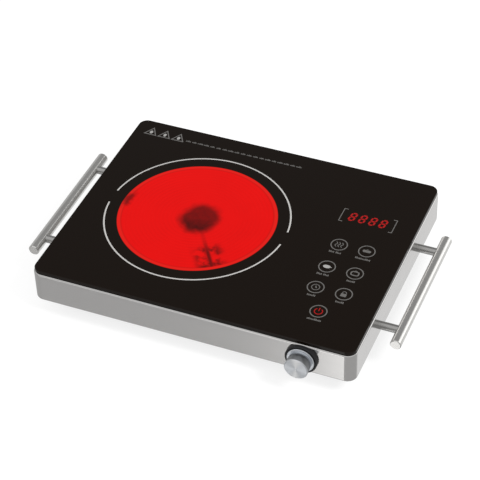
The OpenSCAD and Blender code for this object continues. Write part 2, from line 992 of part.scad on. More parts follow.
module heat_shield() {
    color([0.7, 0.71, 0.72])
        difference() {
            translate([shield_x, 0, z_board])
                rotate([90, 0, 0])
                    linear_extrude(shield_len, center = true) {
                        translate([shield_t, 0])
                            square([shield_foot - shield_t, shield_t]);
                        square([shield_t, shield_h]);
                    }
            at_spots(shield_spots, z_board - 1)
                cylinder(r = m3_r + screw_slack, h = 3);
        }
}

// ---------------------------------------------------------------- touch panel

// A plate on four legs that holds the control board up to the glass
module panel_frame() {
    color([0.2, 0.2, 0.21])
        difference() {
            union() {
                translate([panel_x, panel_y, z_panel_plate])
                    linear_extrude(panel_plate_t)
                        difference() {
                            rounded(panel_w + 4, panel_d + 4, 4);
                            for (x = [-1, 1], y = [-2:2])
                                translate([x * 15, y * 34])
                                    rounded(22, 24, 3);
                        }
                translate([panel_x, panel_y, z_panel_board])
                    linear_extrude(board_t)
                        difference() {
                            rounded(panel_w + 4, panel_d + 4, 4);
                            rounded(panel_w + 2 * mesh_gap, panel_d + 2 * mesh_gap, 2);
                        }
                at_spots(leg_spots, z_floor)
                    cylinder(r = leg_r, h = z_panel_plate + panel_plate_t - z_floor);
            }
            at_spots(leg_spots, z_floor - 1)
                cylinder(r = m3_r, h = 11);
        }
}

module frame_screws() {
    color([0.6, 0.6, 0.6])
        at_spots(leg_spots, foot_h)
            rotate([180, 0, 0])
                screw(m3_r, tray_wall + 9, m3_head_r, m3_head_h);
}

module control_board() {
    color([0.05, 0.25, 0.12])
        translate([panel_x, panel_y, z_panel_board])
            linear_extrude(board_t)
                rounded(panel_w, panel_d, 2);
}

module touch_springs() {
    wire = 0.7;
    pad_h = 0.8;
    touch = 0.05;
    coil_h = spring_pad_h - pad_h - wire - 2 * touch;
    color([0.7, 0.7, 0.66])
        at_spots(key_spots, z_panel_board + board_t) {
            translate([0, 0, touch + wire / 2])
                tube_along(coil_path(4, coil_h, 3, 12), wire / 2, 6);
            translate([0, 0, spring_pad_h - pad_h])
                cylinder(r = 5, h = pad_h);
        }
}

module display_module() {
    color([0.85, 0.85, 0.83])
        translate([panel_x, display_y, z_panel_board + board_t])
            linear_extrude(spring_pad_h - display_gap)
                rounded(display_w, display_d, 0.8);
}

module control_chip() {
    chip = 12;
    chip_t = 1.6;
    stand = 0.2;
    pin_pitch = 1.2;
    pin_w = 0.5;
    pin_len = 1.2;
    color([0.08, 0.08, 0.08])
        translate([panel_x, front_key_y + key_row / 2, z_panel_board + board_t]) {
            translate([-chip / 2, -chip / 2, stand])
                cube([chip, chip, chip_t]);
            for (s = [-1, 1], i = [-4:4])
                translate([s * (chip / 2 + 0.5) - pin_len / 2, i * pin_pitch - pin_w / 2, 0])
                    cube([pin_len, pin_w, pin_w]);
        }
}

module buzzer() {
    color([0.06, 0.06, 0.06])
        translate([panel_x, display_y - 22, z_panel_board + board_t])
            difference() {
                cylinder(r = 5.5, h = 6.5);
                translate([0, 0, 5.5])
                    cylinder(r = 1, h = 2);
            }
}

// ---------------------------------------------------------------- power board

// Puts a part on the power board, at a spot measured from the board's centre
module on_board(spot) {
    translate([power_x + spot[0], power_y + spot[1], z_board + board_t])
        children();
}

module power_board() {
    color([0.45, 0.36, 0.16])
        difference() {
            translate([power_x, power_y, z_board])
                linear_extrude(board_t)
                    rounded(power_w, power_d, 2);
            at_spots(power_spots, z_board - 1)
                cylinder(r = m3_r + screw_slack, h = board_t + 2);
        }
}

module board_screws() {
    color([0.6, 0.6, 0.6]) {
        at_spots(power_spots, z_board + board_t)
            screw(m3_r, board_t + board_boss_h - 1, m3_head_r, m3_head_h);
        at_spots(shield_spots, z_board + shield_t)
            screw(m3_r, board_boss_h, m3_head_r, m3_head_h);
    }
}

module relay() {
    size = [16, 30, 20];
    color([0.1, 0.25, 0.55])
        on_board(relay_spot)
            linear_extrude(size[2])
                rounded(size[0], size[1], 1);
}

// A winding between the top and bottom plates of its core
module transformer() {
    core = [26, 22];
    low_t = 4;
    winding = 20;
    winding_h = 12;
    top_t = 3;
    color([0.75, 0.66, 0.25])
        on_board(transformer_spot) {
            linear_extrude(low_t)
                square(core, center = true);
            translate([0, 0, low_t])
                linear_extrude(winding_h)
                    rounded(winding, winding, 4);
            translate([0, 0, low_t + winding_h])
                linear_extrude(top_t)
                    square(core, center = true);
        }
}

module filter_capacitor() {
    size = [28, 12, 16];
    color([0.75, 0.7, 0.6])
        on_board(capacitor_spot)
            linear_extrude(size[2])
                rounded(size[0], size[1], 2);
}

// A finned block with the flat-backed power switch on its side
module heat_sink() {
    fins = 7;
    fin_pitch = 6;
    fin_t = 1.4;
    fin_len = 14;
    back_t = 3;
    sink_h = 20;
    switch = [4.4, 10, 12];
    switch_z = 5;
    color([0.7, 0.72, 0.74])
        on_board(sink_spot) {
            translate([0, -fins * fin_pitch / 2, 0])
                cube([back_t, fins * fin_pitch, sink_h]);
            for (i = [0:fins - 1])
                translate([back_t, (i - fins / 2) * fin_pitch + 2, 0])
                    cube([fin_len, fin_t, sink_h]);
            translate([-switch[0], -switch[1] / 2, switch_z])
                cube(switch);
        }
}

module terminal_block() {
    ways = 4;
    way = 8;
    size = [ways * way, 12, 11];
    screw_hole_r = 2.4;
    wire_hole = [5, 4, 4];
    color([0.1, 0.35, 0.15])
        on_board(terminal_spot)
            difference() {
                translate([-size[0] / 2, -size[1] / 2, 0])
                    cube(size);
                for (i = [0:ways - 1])
                    translate([(i - ways / 2 + 0.5) * way, 0, 0]) {
                        translate([0, 0, size[2] - 4])
                            cylinder(r = screw_hole_r, h = 5);
                        translate([-wire_hole[0] / 2, size[1] / 2 - 3, 2])
                            cube(wire_hole);
                    }
            }
}

// ---------------------------------------------------------------- fan

module at_fan(z) {
    translate([fan_x, fan_y, z])
        children();
}

module fan_frame() {
    color([0.1, 0.1, 0.1])
        difference() {
            at_fan(z_fan) {
                difference() {
                    linear_extrude(fan_t)
                        difference() {
                            rounded(fan_side, fan_side, 4);
                            circle(fan_bore_r);
                        }
                    for (turn = [0:90:270])
                        rotate(turn)
                            translate([fan_side / 2 - 1, -fan_side / 5, 3])
                                cube([2, fan_side / 2.5, fan_t - 6]);
                }
                translate([0, 0, fan_t - hub_plate_t])
                    linear_extrude(hub_plate_t) {
                        circle(hub_plate_r);
                        for (turn = [30:120:270])
                            rotate(turn)
                                translate([0, -1.5])
                                    square([fan_bore_r + 1, 3]);
                    }
                translate([0, 0, 5])
                    cylinder(r = coil_in_r, h = fan_t - hub_plate_t - 4);
            }
            at_fan(z_fan)
                cylinder(r = bearing_r, h = fan_t - hub_plate_t + 1);
            at_spots(fan_spots, z_fan - 1)
                cylinder(r = m3_r + screw_slack, h = fan_t + 2);
        }
}

module fan_bearing() {
    color([0.72, 0.55, 0.25])
        at_fan(z_fan + 5)
            difference() {
                cylinder(r = bearing_r, h = fan_t - hub_plate_t - 5);
                translate([0, 0, -1])
                    cylinder(r = fan_shaft_r + running_gap, h = fan_t);
            }
}

module fan_coil() {
    poles = 4;
    pole_h = 5;
    color([0.7, 0.4, 0.2])
        at_fan(z_fan + fan_t - hub_plate_t - pole_h)
            linear_extrude(pole_h)
                difference() {
                    union() {
                        circle(fan_coil_r - 3);
                        for (i = [0:poles - 1])
                            rotate(i * 360 / poles)
                                translate([fan_coil_r / 2, 0])
                                    square([fan_coil_r - 1, 6], center = true);
                    }
                    circle(coil_in_r);
                }
}

module fan_rotor() {
    cup_wall = 1.4;
    floor_z = 1.2;
    floor_t = 1.6;
    cup_h = fan_t - hub_plate_t - floor_z - 1;
    blade_h = 9;
    tip_r = fan_bore_r - tip_gap;
    color([0.13, 0.13, 0.13])
        at_fan(z_fan + floor_z)
            difference() {
                union() {
                    cylinder(r = hub_cup_r, h = cup_h);
                    intersection() {
                        for (i = [0:blades - 1])
                            rotate(i * 360 / blades)
                                translate([hub_cup_r - 1, 0, blade_h / 2 + 0.6])
                                    rotate([52, 0, 0])
                                        translate([0, -blade_h * 0.72, -blade_t / 2])
                                            cube([tip_r, blade_h * 1.44, blade_t]);
                        cylinder(r = tip_r, h = cup_h);
                    }
                }
                translate([0, 0, floor_t])
                    cylinder(r = hub_cup_r - cup_wall, h = cup_h);
                translate([0, 0, -1])
                    cylinder(r = fan_shaft_r, h = floor_t + 2);
            }
}

module fan_shaft() {
    color([0.75, 0.75, 0.75])
        at_fan(z_fan + 1.2)
            cylinder(r = fan_shaft_r, h = fan_t - hub_plate_t - 2.2);
}

module fan_screws() {
    color([0.6, 0.6, 0.6])
        at_spots(fan_spots, z_fan + fan_t)
            screw(m3_r, fan_t + fan_boss_h - 0.5, m3_head_r, m3_head_h);
}

// ---------------------------------------------------------------- cord inlet

module on_gland_axis() {
    translate([gland_x, casing_d / 2, z_mid])
        rotate([-90, 0, 0])
            children();
}

module cord_gland() {
    cord_r = cord_hole_d / 2;
    edge = 1;
    color([0.08, 0.08, 0.08])
        on_gland_axis()
            difference() {
                union() {
                    cylinder(r = gland_flange_r, h = gland_flange_t - edge);
                    translate([0, 0, gland_flange_t - edge])
                        cylinder(r1 = gland_flange_r, r2 = gland_flange_r - edge, h = edge);
                    translate([0, 0, -gland_inside])
                        cylinder(r = gland_body_r, h = gland_inside + 1);
                }
                translate([0, 0, -gland_inside - 1])
                    cylinder(r = cord_r, h = gland_inside + gland_flange_t + 2);
            }
}

module gland_nut() {
    color([0.1, 0.1, 0.1])
        on_gland_axis()
            translate([0, 0, -sheet_t - gland_nut_t])
                hex_nut(gland_nut_af, gland_nut_t, gland_body_r);
}

// ---------------------------------------------------------------- wiring

// A point beside the heater: r from its centre, on the terminal's or the limiter's side
function by_terminal(r, side, z) = let (a = rod_angle - terminal_turn)
    [zone_x + r * cos(a) - side * sin(a), r * sin(a) + side * cos(a), z_pan + z];
function by_head(r, side, z) =
    [zone_x + r * cos(rod_angle) - side * sin(rod_angle), r * sin(rod_angle) + side * cos(rod_angle),
        z_pan + z];

module lead(points, r) {
    tube_along(smooth_path(points, 4), r, 8);
}

// Two leads each from the heater, the limiter, the fan and the encoder to their board
module wiring() {
    board_top = z_board + board_t + lead_gap;
    board_left = power_x - power_w / 2;
    board_front = power_y - power_d / 2;
    fan_front = fan_y - fan_side / 2;
    encoder_rear = -casing_d / 2 + sheet_t + encoder_depth;
    tab_tip = tab_r + tab_len + lead_gap;
    tab_mid = tab_z + tab_t / 2;
    head_tip = pan_out_r + bracket_t - 0.5 + head_d + lead_gap;
    head_mid = pan_wall_h - (head_h + head_low) / 2;
    past_block = by_terminal(tab_tip + 6, 0, 0);
    past_head = by_head(head_tip, 0, 0);
    color([0.7, 0.68, 0.62])
        for (s = [-1, 1]) {
            lead([
                by_terminal(tab_tip, s * tab_side, tab_mid),
                by_terminal(tab_tip + 6, s * tab_side, tab_mid),
                past_block + [14 + 4 * s, 1.5 + 2 * s, -1],
                past_block + [31, 5 + 2 * s, -6],
                [shield_x - 8, board_front - 4 + 2 * s, z_board + 3],
                [board_left - 6, board_front + 8 + 3 * s, z_board + 8],
                [board_left + 6, board_front + 17 + 3 * s, board_top + 6],
                [board_left + 6, board_front + 17 + 3 * s, board_top]
            ], lead_r);
            lead([
                by_head(head_tip, s * 4, head_mid),
                by_head(head_tip + 5, s * 4, head_mid),
                past_head + [19, -2 + 3 * s, 9],
                [shield_x + 6, board_front - 11 + 3 * s, z_board + 16],
                [board_left + 4, board_front - 5 + 3 * s, z_board + 14],
                [board_left + 14 - 3 * s, board_front + 8, board_top + 9],
                [board_left + 14 - 3 * s, board_front + 8, board_top]
            ], signal_r);
            lead([
                [fan_x - 12 + 2 * s, fan_front - lead_gap, z_fan + 6], [fan_x - 12 + 2 * s, fan_front - 4, z_fan + 7],
                [fan_x - 13 + 2 * s, fan_front - 13, z_fan + 9],
                [fan_x - 14 + 2 * s, fan_front - 20, board_top + 5],
                [fan_x - 14 + 2 * s, fan_front - 20, board_top]
            ], signal_r);
            lead([
                [knob_x - 3 + 2 * s, encoder_rear + lead_gap, z_mid], [knob_x - 3 + 2 * s, encoder_rear + 6, z_mid],
                [knob_x - 10 + 2 * s, encoder_rear + 24, z_mid - 1],
                [knob_x - 15 + 2 * s, encoder_rear + 42, z_mid + 1],
                [knob_x - 15 + 2 * s, encoder_rear + 42, z_panel_board - lead_gap]
            ], signal_r);
        }
}

// A flat cable between the two boards, bowed a little, with a plug at each end
module board_cable() {
    plug_w = 18;
    plug_d = 5;
    plug_h = 5;
    cable_w = 16;
    cable_t = 1;
    bow = 3;
    steps = 12;
    height = z_panel_board - z_board - board_t;
    free_h = height - 2 * plug_h;
    front = [for (i = [0:steps]) let (t = i / steps) [4 * bow * t * (1 - t), plug_h - 0.5 + t * (free_h + 1)]];
    back = [for (i = [steps:-1:0]) front[i] + [cable_t, 0]];
    color([0.55, 0.56, 0.58])
        on_board(cable_spot) {
            translate([-cable_w / 2, 0, 0])
                rotate([90, 0, 90])
                    linear_extrude(cable_w)
                        polygon(concat(front, back));
            for (z = [0, height - plug_h])
                translate([-plug_w / 2, -plug_d / 2 + cable_t / 2, z])
                    cube([plug_w, plug_d, plug_h]);
        }
}

// ---------------------------------------------------------------- assembly

module placed() {
    translate([0, middle_y, 0])
        children();
}

placed() glass_plate();
placed() glass_seal();
placed() casing();
placed() base_tray();
placed() foot([-foot_x, -foot_y]);  // foot_front_left
placed() foot([foot_x, -foot_y]);  // foot_front_right
placed() foot([-foot_x, foot_y]);  // foot_rear_left
placed() foot([foot_x, foot_y]);  // foot_rear_right
placed() foot_screws();
placed() rim_screws();
placed() handle_bar(-1);  // handle_bar_left
placed() handle_bar(1);  // handle_bar_right
placed() handle_post(-1, post_spots[0]);  // handle_post_left_front
placed() handle_post(-1, post_spots[1]);  // handle_post_left_rear
placed() handle_post(1, post_spots[0]);  // handle_post_right_front
placed() handle_post(1, post_spots[1]);  // handle_post_right_rear
placed() handle_plate(-1);  // handle_plate_left
placed() handle_plate(1);  // handle_plate_right
placed() handle_screws();
placed() knob_cap();
placed() knob_core();
placed() knob_collar();
placed() encoder_body();
placed() encoder_shaft();
placed() encoder_washer();
placed() encoder_nut();
placed() heater_pan();
placed() insulation_base();
placed() insulation_ring();
placed() heating_ribbon();
placed() limiter_rod();
placed() limiter_head();
placed() heater_terminal();
placed() heater_springs();
placed() glass_sensor();
placed() heat_shield();
placed() panel_frame();
placed() frame_screws();
placed() control_board();
placed() touch_springs();
placed() display_module();
placed() control_chip();
placed() buzzer();
placed() power_board();
placed() board_screws();
placed() relay();
placed() transformer();
placed() filter_capacitor();
placed() heat_sink();
placed() terminal_block();
placed() fan_frame();
placed() fan_bearing();
placed() fan_coil();
placed() fan_rotor();
placed() fan_shaft();
placed() fan_screws();
placed() cord_gland();
placed() gland_nut();
placed() wiring();
placed() board_cable();
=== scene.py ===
"""Finishes, printed marks and stage of a portable infrared hot plate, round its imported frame."""
import math

import bmesh
import bpy
from mathutils import Matrix, Vector


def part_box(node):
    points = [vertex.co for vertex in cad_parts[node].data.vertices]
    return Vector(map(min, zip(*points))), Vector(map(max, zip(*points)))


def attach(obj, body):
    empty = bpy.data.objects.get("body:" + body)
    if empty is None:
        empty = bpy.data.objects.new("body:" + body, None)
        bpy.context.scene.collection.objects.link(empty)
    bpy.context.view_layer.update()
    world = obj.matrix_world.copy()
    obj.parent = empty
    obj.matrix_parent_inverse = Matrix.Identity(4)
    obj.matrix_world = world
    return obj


bl_info = {
    "name": "Infrared Hot Plate",
    "version": (1, 0, 0),
    "blender": (4, 5, 0),
    "location": "View3D > Sidebar > Hot Plate",
    "description": "Finishes, printed marks and stage of a portable infrared hot plate",
    "category": "Object",
}

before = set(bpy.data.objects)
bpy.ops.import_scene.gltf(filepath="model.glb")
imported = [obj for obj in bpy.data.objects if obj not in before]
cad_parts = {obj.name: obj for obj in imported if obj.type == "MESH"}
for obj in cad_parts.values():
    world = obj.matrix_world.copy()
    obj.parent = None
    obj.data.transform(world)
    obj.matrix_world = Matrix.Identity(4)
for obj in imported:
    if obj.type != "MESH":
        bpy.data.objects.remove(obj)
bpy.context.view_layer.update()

MM = 0.001
FULL_TURN = 2 * math.pi
PRINT_SINK = 0.02 * MM


def middle(node):
    """The centre of a CAD node's box."""
    low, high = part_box(node)
    return (low + high) / 2


GLASS_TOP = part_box("glass_plate")[1].z
GLASS = middle("glass_plate")
ZONE = middle("insulation_ring")
KNOB = middle("knob_cap")
KNOB_FACE, KNOB_BACK = (corner.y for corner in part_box("knob_cap"))
DISPLAY = middle("display_module")

PAD_RADIUS = 5 * MM
PADS_LOW, PADS_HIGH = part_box("touch_springs")
KEY_COLUMNS = (PADS_LOW.x + PAD_RADIUS, PADS_HIGH.x - PAD_RADIUS)
KEY_FRONT = PADS_LOW.y + PAD_RADIUS
KEY_ROW = (PADS_HIGH.y - PAD_RADIUS - KEY_FRONT) / 3
POWER_KEY = Vector((sum(KEY_COLUMNS) / 2, KEY_FRONT))


# ------------------------------------------------------------------ settings

def length(name, description, default):
    """A size in metres, given in millimetres."""
    return bpy.props.FloatProperty(
        name=name, description=description, default=default * MM, min=0, precision=5, unit="LENGTH")


def share(name, description, default):
    """A number from 0 to 1."""
    return bpy.props.FloatProperty(
        name=name, description=description, default=default, min=0, max=1, subtype="FACTOR")


def amount(name, description, default):
    return bpy.props.FloatProperty(name=name, description=description, default=default, min=0)


def angle(name, description, degrees):
    return bpy.props.FloatProperty(
        name=name, description=description, default=math.radians(degrees), subtype="ANGLE")


def colour(name, description, default):
    """A linear colour."""
    return bpy.props.FloatVectorProperty(
        name=name, description=description, default=default, size=3, min=0, max=1, subtype="COLOR")


class PrintSettings(bpy.types.PropertyGroup):
    thickness: length("Print thickness", "How far the enamel print stands on the glass", 0.03)
    white: colour("Ring enamel", "Enamel of the zone ring", (0.43, 0.42, 0.405))
    grey: colour("Key enamel", "Enamel of the keys and small marks", (0.105, 0.101, 0.096))
    pale: colour("Pale enamel", "Enamel of the filled marks", (0.29, 0.285, 0.275))
    ring_radius: length("Ring radius", "Radius of the ring round the heating zone", 101.4)
    ring_line: length("Ring line", "Width of the zone ring's line", 1.8)
    ring_gap: length("Ring gap", "Opening of the zone ring on its left and right", 20.6)
    key_radius: length("Key radius", "Radius of a key's ring, at the middle of its line", 8.7)
    key_line: length("Key line", "Width of the line of a key's ring", 1.2)
    label_drop: length("Label distance", "From a key's centre to the marks below it", 12.8)
    label_height: length("Label height", "Height of the marks below a key", 2.7)
    bracket_width: length("Bracket width", "Distance between the display's brackets", 60)
    bracket_height: length("Bracket height", "Height of the display's brackets", 21)
    bracket_line: length("Bracket line", "Width of the brackets' line", 1.0)
    digit_height: length("Digit height", "Height of a display digit", 14)
    digit_pitch: length("Digit pitch", "Distance from one digit to the next", 11.5)
    digit_colour: colour("Digit colour", "Light of the display", (0.42, 0.004, 0.004))
    triangle_side: length("Triangle side", "Side of a rear mark", 14)
    triangle_pitch: length("Triangle pitch", "Distance from one rear mark to the next", 17)
    notice_length: length("Notice length", "Length of the row of dashes at the rear", 144)


class HeatSettings(bpy.types.PropertyGroup):
    radius: length("Glow radius", "Radius of the glowing zone", 87.4)
    band: length("Rim band", "Width of the paler band at the zone's rim", 4.2)
    hub: length("Hub radius", "Radius of the dark centre", 21)
    loop_pitch: length("Loop pitch", "Distance between the ribbon's loops", 4.5)
    rod_angle: angle("Rod angle", "Direction of the limiter rod, seen from above", -56)
    rod_width: length("Rod shadow", "Width of the rod's shadow", 2.6)
    red: colour("Glow", "Light of the hot ribbon through the glass", (0.805, 0.0010, 0.0004))
    rim_red: colour("Rim glow", "Light of the rim band", (0.770, 0.0090, 0.0050))
    hub_red: colour("Hub glow", "Light of the shaded centre", (0.060, 0.0010, 0.0006))


class MetalSettings(bpy.types.PropertyGroup):
    steel: colour("Steel", "Colour of the satin stainless steel", (0.62, 0.61, 0.60))
    bars: colour("Handle steel", "Colour of the handles", (0.74, 0.73, 0.71))
    posts: colour("Post steel", "Colour of the handle posts", (0.40, 0.395, 0.385))
    knob: colour("Knob aluminium", "Colour of the knob", (0.80, 0.83, 0.87))
    brushing: amount("Brushing", "Fineness of the brushed lines", 1400)
    wear: share("Wear", "How much the metal's edges are polished by use", 0.25)


class StageSettings(bpy.types.PropertyGroup):
    floor: colour("Floor", "Colour of the floor", (0.22, 0.22, 0.22))
    floor_lift: amount("Floor lift", "Light of the floor's own, which fills the shadows", 0.80)
    daylight: amount("Daylight", "Even light of the room on everything that isn't a mirror", 0.88)
    front_room: amount("Front room", "Brightness that metal mirrors high in front", 0.85)
    front_wall: amount("Front wall", "Brightness that glass and metal mirror low in front", 0.42)
    back_room: amount("Back room", "Brightness that glass and metal mirror high at the back", 0.29)
    back_wall: amount("Back wall", "Brightness that metal mirrors low at the back", 0.52)
    right_card: amount("Right card", "Brightness of the card behind on the right", 1.45)
    grey_card: amount("Grey card", "Brightness of the grey cards that the walls mirror", 0.50)
    white_card: amount("White card", "Brightness that the front wall's right end mirrors", 0.86)
    bright_edge: amount("Bright edge", "Brightness that it mirrors close to the corner", 1.7)
    low_card: amount("Low card", "Brightness of the low strip in front", 1.5)
    side_card: amount("Side card", "Brightness of the card that the right wall mirrors", 0.82)
    key_strength: amount("Key strength", "Power of the key light", 40)
    fill_strength: amount("Fill strength", "Power of the fill light", 8)
    azimuth: angle("Camera azimuth", "Turn of the camera from the front towards the right", 23.8)
    elevation: angle("Camera elevation", "Height of the camera above the horizon", 40.94)
    roll: angle("Camera roll", "Roll of the camera", -2.08)
    distance: amount("Camera distance", "Distance of the camera in metres", 1.898)
    focal_length: amount("Focal length", "Focal length in millimetres", 132.35)


# ------------------------------------------------------------------ small tools

def add_object(name, mesh):
    piece = bpy.data.objects.new(name, mesh)
    bpy.context.scene.collection.objects.link(piece)
    return piece


def feed(tree, node, values):
    """Links the inputs that another node gives, and sets those that are fixed."""
    for name, value in values.items():
        socket = node.inputs[name]
        if isinstance(value, bpy.types.NodeSocket):
            tree.links.new(value, socket)
        elif socket.type == "RGBA":
            socket.default_value = (*value, 1)
        else:
            socket.default_value = value


def add_node(tree, kind, values=None, **settings):
    """Adds a node, sets its properties and feeds its inputs."""
    node = tree.nodes.new(kind)
    for name, value in settings.items():
        setattr(node, name, value)
    feed(tree, node, values or {})
    return node


def calculate(tree, operation, *values):
    """The output of a Math node."""
    node = add_node(tree, "ShaderNodeMath", dict(enumerate(values)), operation=operation)
    return node.outputs[0]


def times(tree, product, *factors):
    for factor in factors:
        product = calculate(tree, "MULTIPLY", product, factor)
    return product


def smooth_step(tree, value, start, end):
    """0 before start, 1 after end, and smooth between them."""
    node = add_node(tree, "ShaderNodeMapRange", {
        "Value": value, "From Min": start, "From Max": end}, interpolation_type="SMOOTHSTEP")
    return node.outputs["Result"]


def fade(tree, value, start, end):
    """1 before start, 0 after end, and smooth between them."""
    return calculate(tree, "SUBTRACT", 1.0, smooth_step(tree, value, start, end))


def band(tree, value, start, end, soft):
    """1 from start to end and 0 outside, with soft edges."""
    rise = smooth_step(tree, value, start - soft, start + soft)
    fall = smooth_step(tree, value, end - soft, end + soft)
    return calculate(tree, "SUBTRACT", rise, fall)


def ramp(tree, value, low, high):
    """Maps 0..1 to low..high, and stays within them."""
    node = add_node(tree, "ShaderNodeMapRange", {"Value": value, "To Min": low, "To Max": high})
    return node.outputs["Result"]


def mix_colour(tree, factor, a, b):
    node = add_node(tree, "ShaderNodeMix", {"Factor": factor, 6: a, 7: b}, data_type="RGBA")
    return node.outputs[2]


def shaded(tone, factor):
    """A colour made darker, or brighter by a factor above 1."""
    return [min(1, c * factor) for c in tone]


def place(tree):
    """A point of the surface, in the object's own coordinates."""
    return add_node(tree, "ShaderNodeTexCoord").outputs["Object"]


def vector_math(tree, operation, *values, output=0):
    node = add_node(
        tree, "ShaderNodeVectorMath", dict(enumerate(values)), operation=operation)
    return node.outputs[output]


def moved(tree, point, centre):
    return vector_math(tree, "SUBTRACT", point, centre)


def stretched(tree, point, factors):
    return vector_math(tree, "MULTIPLY", point, factors)


def distance(tree, point):
    """How far a point lies from the origin."""
    return vector_math(tree, "LENGTH", point, output="Value")


def part(tree, point, axis):
    """One coordinate of a point."""
    return add_node(tree, "ShaderNodeSeparateXYZ", {0: point}).outputs[axis]


def noise(tree, point, scale, detail=2):
    """Noise from 0 to 1."""
    node = add_node(tree, "ShaderNodeTexNoise", {
        "Vector": point, "Scale": scale, "Detail": detail})
    return node.outputs[0]


def uneven(tree, value, point, scale, detail, depth):
    """A value that noise raises and lowers by up to depth."""
    change = ramp(tree, noise(tree, point, scale, detail), -depth, depth)
    return calculate(tree, "ADD", value, change)


def spread_about(tree, value, centre, spread):
    """How far a value lies from its centre, times the spread."""
    return times(tree, calculate(tree, "SUBTRACT", value, centre), spread)


def new_material(name):
    """A material with its node tree and its main shader."""
    material = bpy.data.materials.new(name)
    material.use_nodes = True
    tree = material.node_tree
    return material, tree, tree.nodes["Principled BSDF"]


def add_bump(tree, shader, height, strength, depth):
    node = add_node(tree, "ShaderNodeBump", {
        "Height": height, "Strength": strength, "Distance": depth})
    feed(tree, shader, {"Normal": node.outputs["Normal"]})


# ------------------------------------------------------------------ shared shader effects

def shader_group(name, inputs, outputs):
    """An empty shader group with its sockets, and its input and output nodes."""
    group = bpy.data.node_groups.new(name, "ShaderNodeTree")
    for label, kind, default in inputs:
        socket = group.interface.new_socket(label, in_out="INPUT", socket_type=kind)
        if default is not None:
            socket.default_value = default
    for label in outputs:
        group.interface.new_socket(label, in_out="OUTPUT", socket_type="NodeSocketFloat")
    return group, group.nodes.new("NodeGroupInput"), group.nodes.new("NodeGroupOutput")


def build_grain_group():
    """Moulded or cast grain: fine bumps, with roughness that drifts over the surface."""
    group, start, end = shader_group("Fine grain", [
        ("Scale", "NodeSocketFloat", 900.0),
        ("Roughness", "NodeSocketFloat", 0.5),
        ("Spread", "NodeSocketFloat", 0.1),
    ], ["Height", "Roughness", "Drift"])
    point = place(group)
    drift = noise(group, point, 28, 3)
    change = spread_about(group, drift, 0.5, start.outputs["Spread"])
    feed(group, end, {
        "Height": noise(group, point, start.outputs["Scale"], 3),
        "Roughness": calculate(group, "ADD", start.outputs["Roughness"], change),
        "Drift": drift})
    return group


def build_brushed_group():
    """Lines of a brushed finish: noise drawn out along the brushing."""
    group, start, end = shader_group("Brushed lines", [
        ("Stretch", "NodeSocketVector", (0.02, 0.02, 1.0)),
        ("Scale", "NodeSocketFloat", 1400.0),
        ("Roughness", "NodeSocketFloat", 0.3),
        ("Spread", "NodeSocketFloat", 0.12),
    ], ["Height", "Roughness", "Shade"])
    point = place(group)
    lines = noise(
        group, stretched(group, point, start.outputs["Stretch"]), start.outputs["Scale"], 4)
    cloud = noise(group, point, 18, 3)
    both = calculate(group, "ADD", lines, times(group, cloud, 0.4))
    change = spread_about(group, both, 0.7, start.outputs["Spread"])
    feed(group, end, {
        "Height": lines,
        "Roughness": calculate(group, "ADD", start.outputs["Roughness"], change),
        "Shade": both})
    return group


def build_wear_group():
    """A mask of the edges and corners that hands and cloths polish."""
    group, start, end = shader_group("Edge wear", [
        ("Amount", "NodeSocketFloat", 0.3),
    ], ["Mask"])
    edge = add_node(group, "ShaderNodeNewGeometry").outputs["Pointiness"]
    sharp = smooth_step(group, edge, 0.51, 0.6)
    patchy = ramp(group, noise(group, place(group), 60, 4), 0.4, 1.2)
    feed(group, end, {"Mask": times(group, sharp, patchy, start.outputs["Amount"])})
    return group


BUILDERS = {"grain": build_grain_group, "brushed": build_brushed_group, "wear": build_wear_group}
GROUPS = {}


def effect(tree, name, **values):
    """Places a shared effect in a material's tree, with its own values."""
    if name not in GROUPS:
        GROUPS[name] = BUILDERS[name]()
    node = add_node(tree, "ShaderNodeGroup", node_tree=GROUPS[name])
    for label, value in values.items():
        node.inputs[label.replace("_", " ").capitalize()].default_value = value
    return node


# ------------------------------------------------------------------ materials

def moulded(name, base, roughness=0.5, grain=900.0, bump=0.15, gloss=0.5):
    """Moulded plastic, rubber or lacquer: a fine grain and a slight drift of tone."""
    material, tree, shader = new_material(name)
    grainy = effect(tree, "grain", scale=grain, roughness=roughness, spread=0.18)
    worn = effect(tree, "wear", amount=0.35)
    drift = ramp(tree, grainy.outputs["Drift"], 0, 0.35)
    tone = mix_colour(tree, drift, base, shaded(base, 0.7))
    polished = [min(1, c * 1.8 + 0.02) for c in base]
    feed(tree, shader, {
        "Base Color": mix_colour(tree, worn.outputs["Mask"], tone, polished),
        "Roughness": grainy.outputs["Roughness"], "Specular IOR Level": gloss})
    add_bump(tree, shader, grainy.outputs["Height"], bump, 0.3 * MM)
    return material


def brushed(name, base, stretch, roughness=0.3, scale=1400.0, bump=0.1, spread=0.14, wear=0.25):
    """Metal with brushed or turned lines."""
    material, tree, shader = new_material(name)
    lines = effect(
        tree, "brushed", stretch=stretch, scale=scale, roughness=roughness, spread=spread)
    worn = effect(tree, "wear", amount=wear)
    shade = ramp(tree, lines.outputs["Shade"], 0, 0.5)
    tone = mix_colour(tree, shade, shaded(base, 1.06), shaded(base, 0.82))
    feed(tree, shader, {
        "Base Color": mix_colour(tree, worn.outputs["Mask"], tone, shaded(base, 1.25)),
        "Metallic": 1.0, "Roughness": lines.outputs["Roughness"]})
    add_bump(tree, shader, lines.outputs["Height"], bump, 0.1 * MM)
    return material


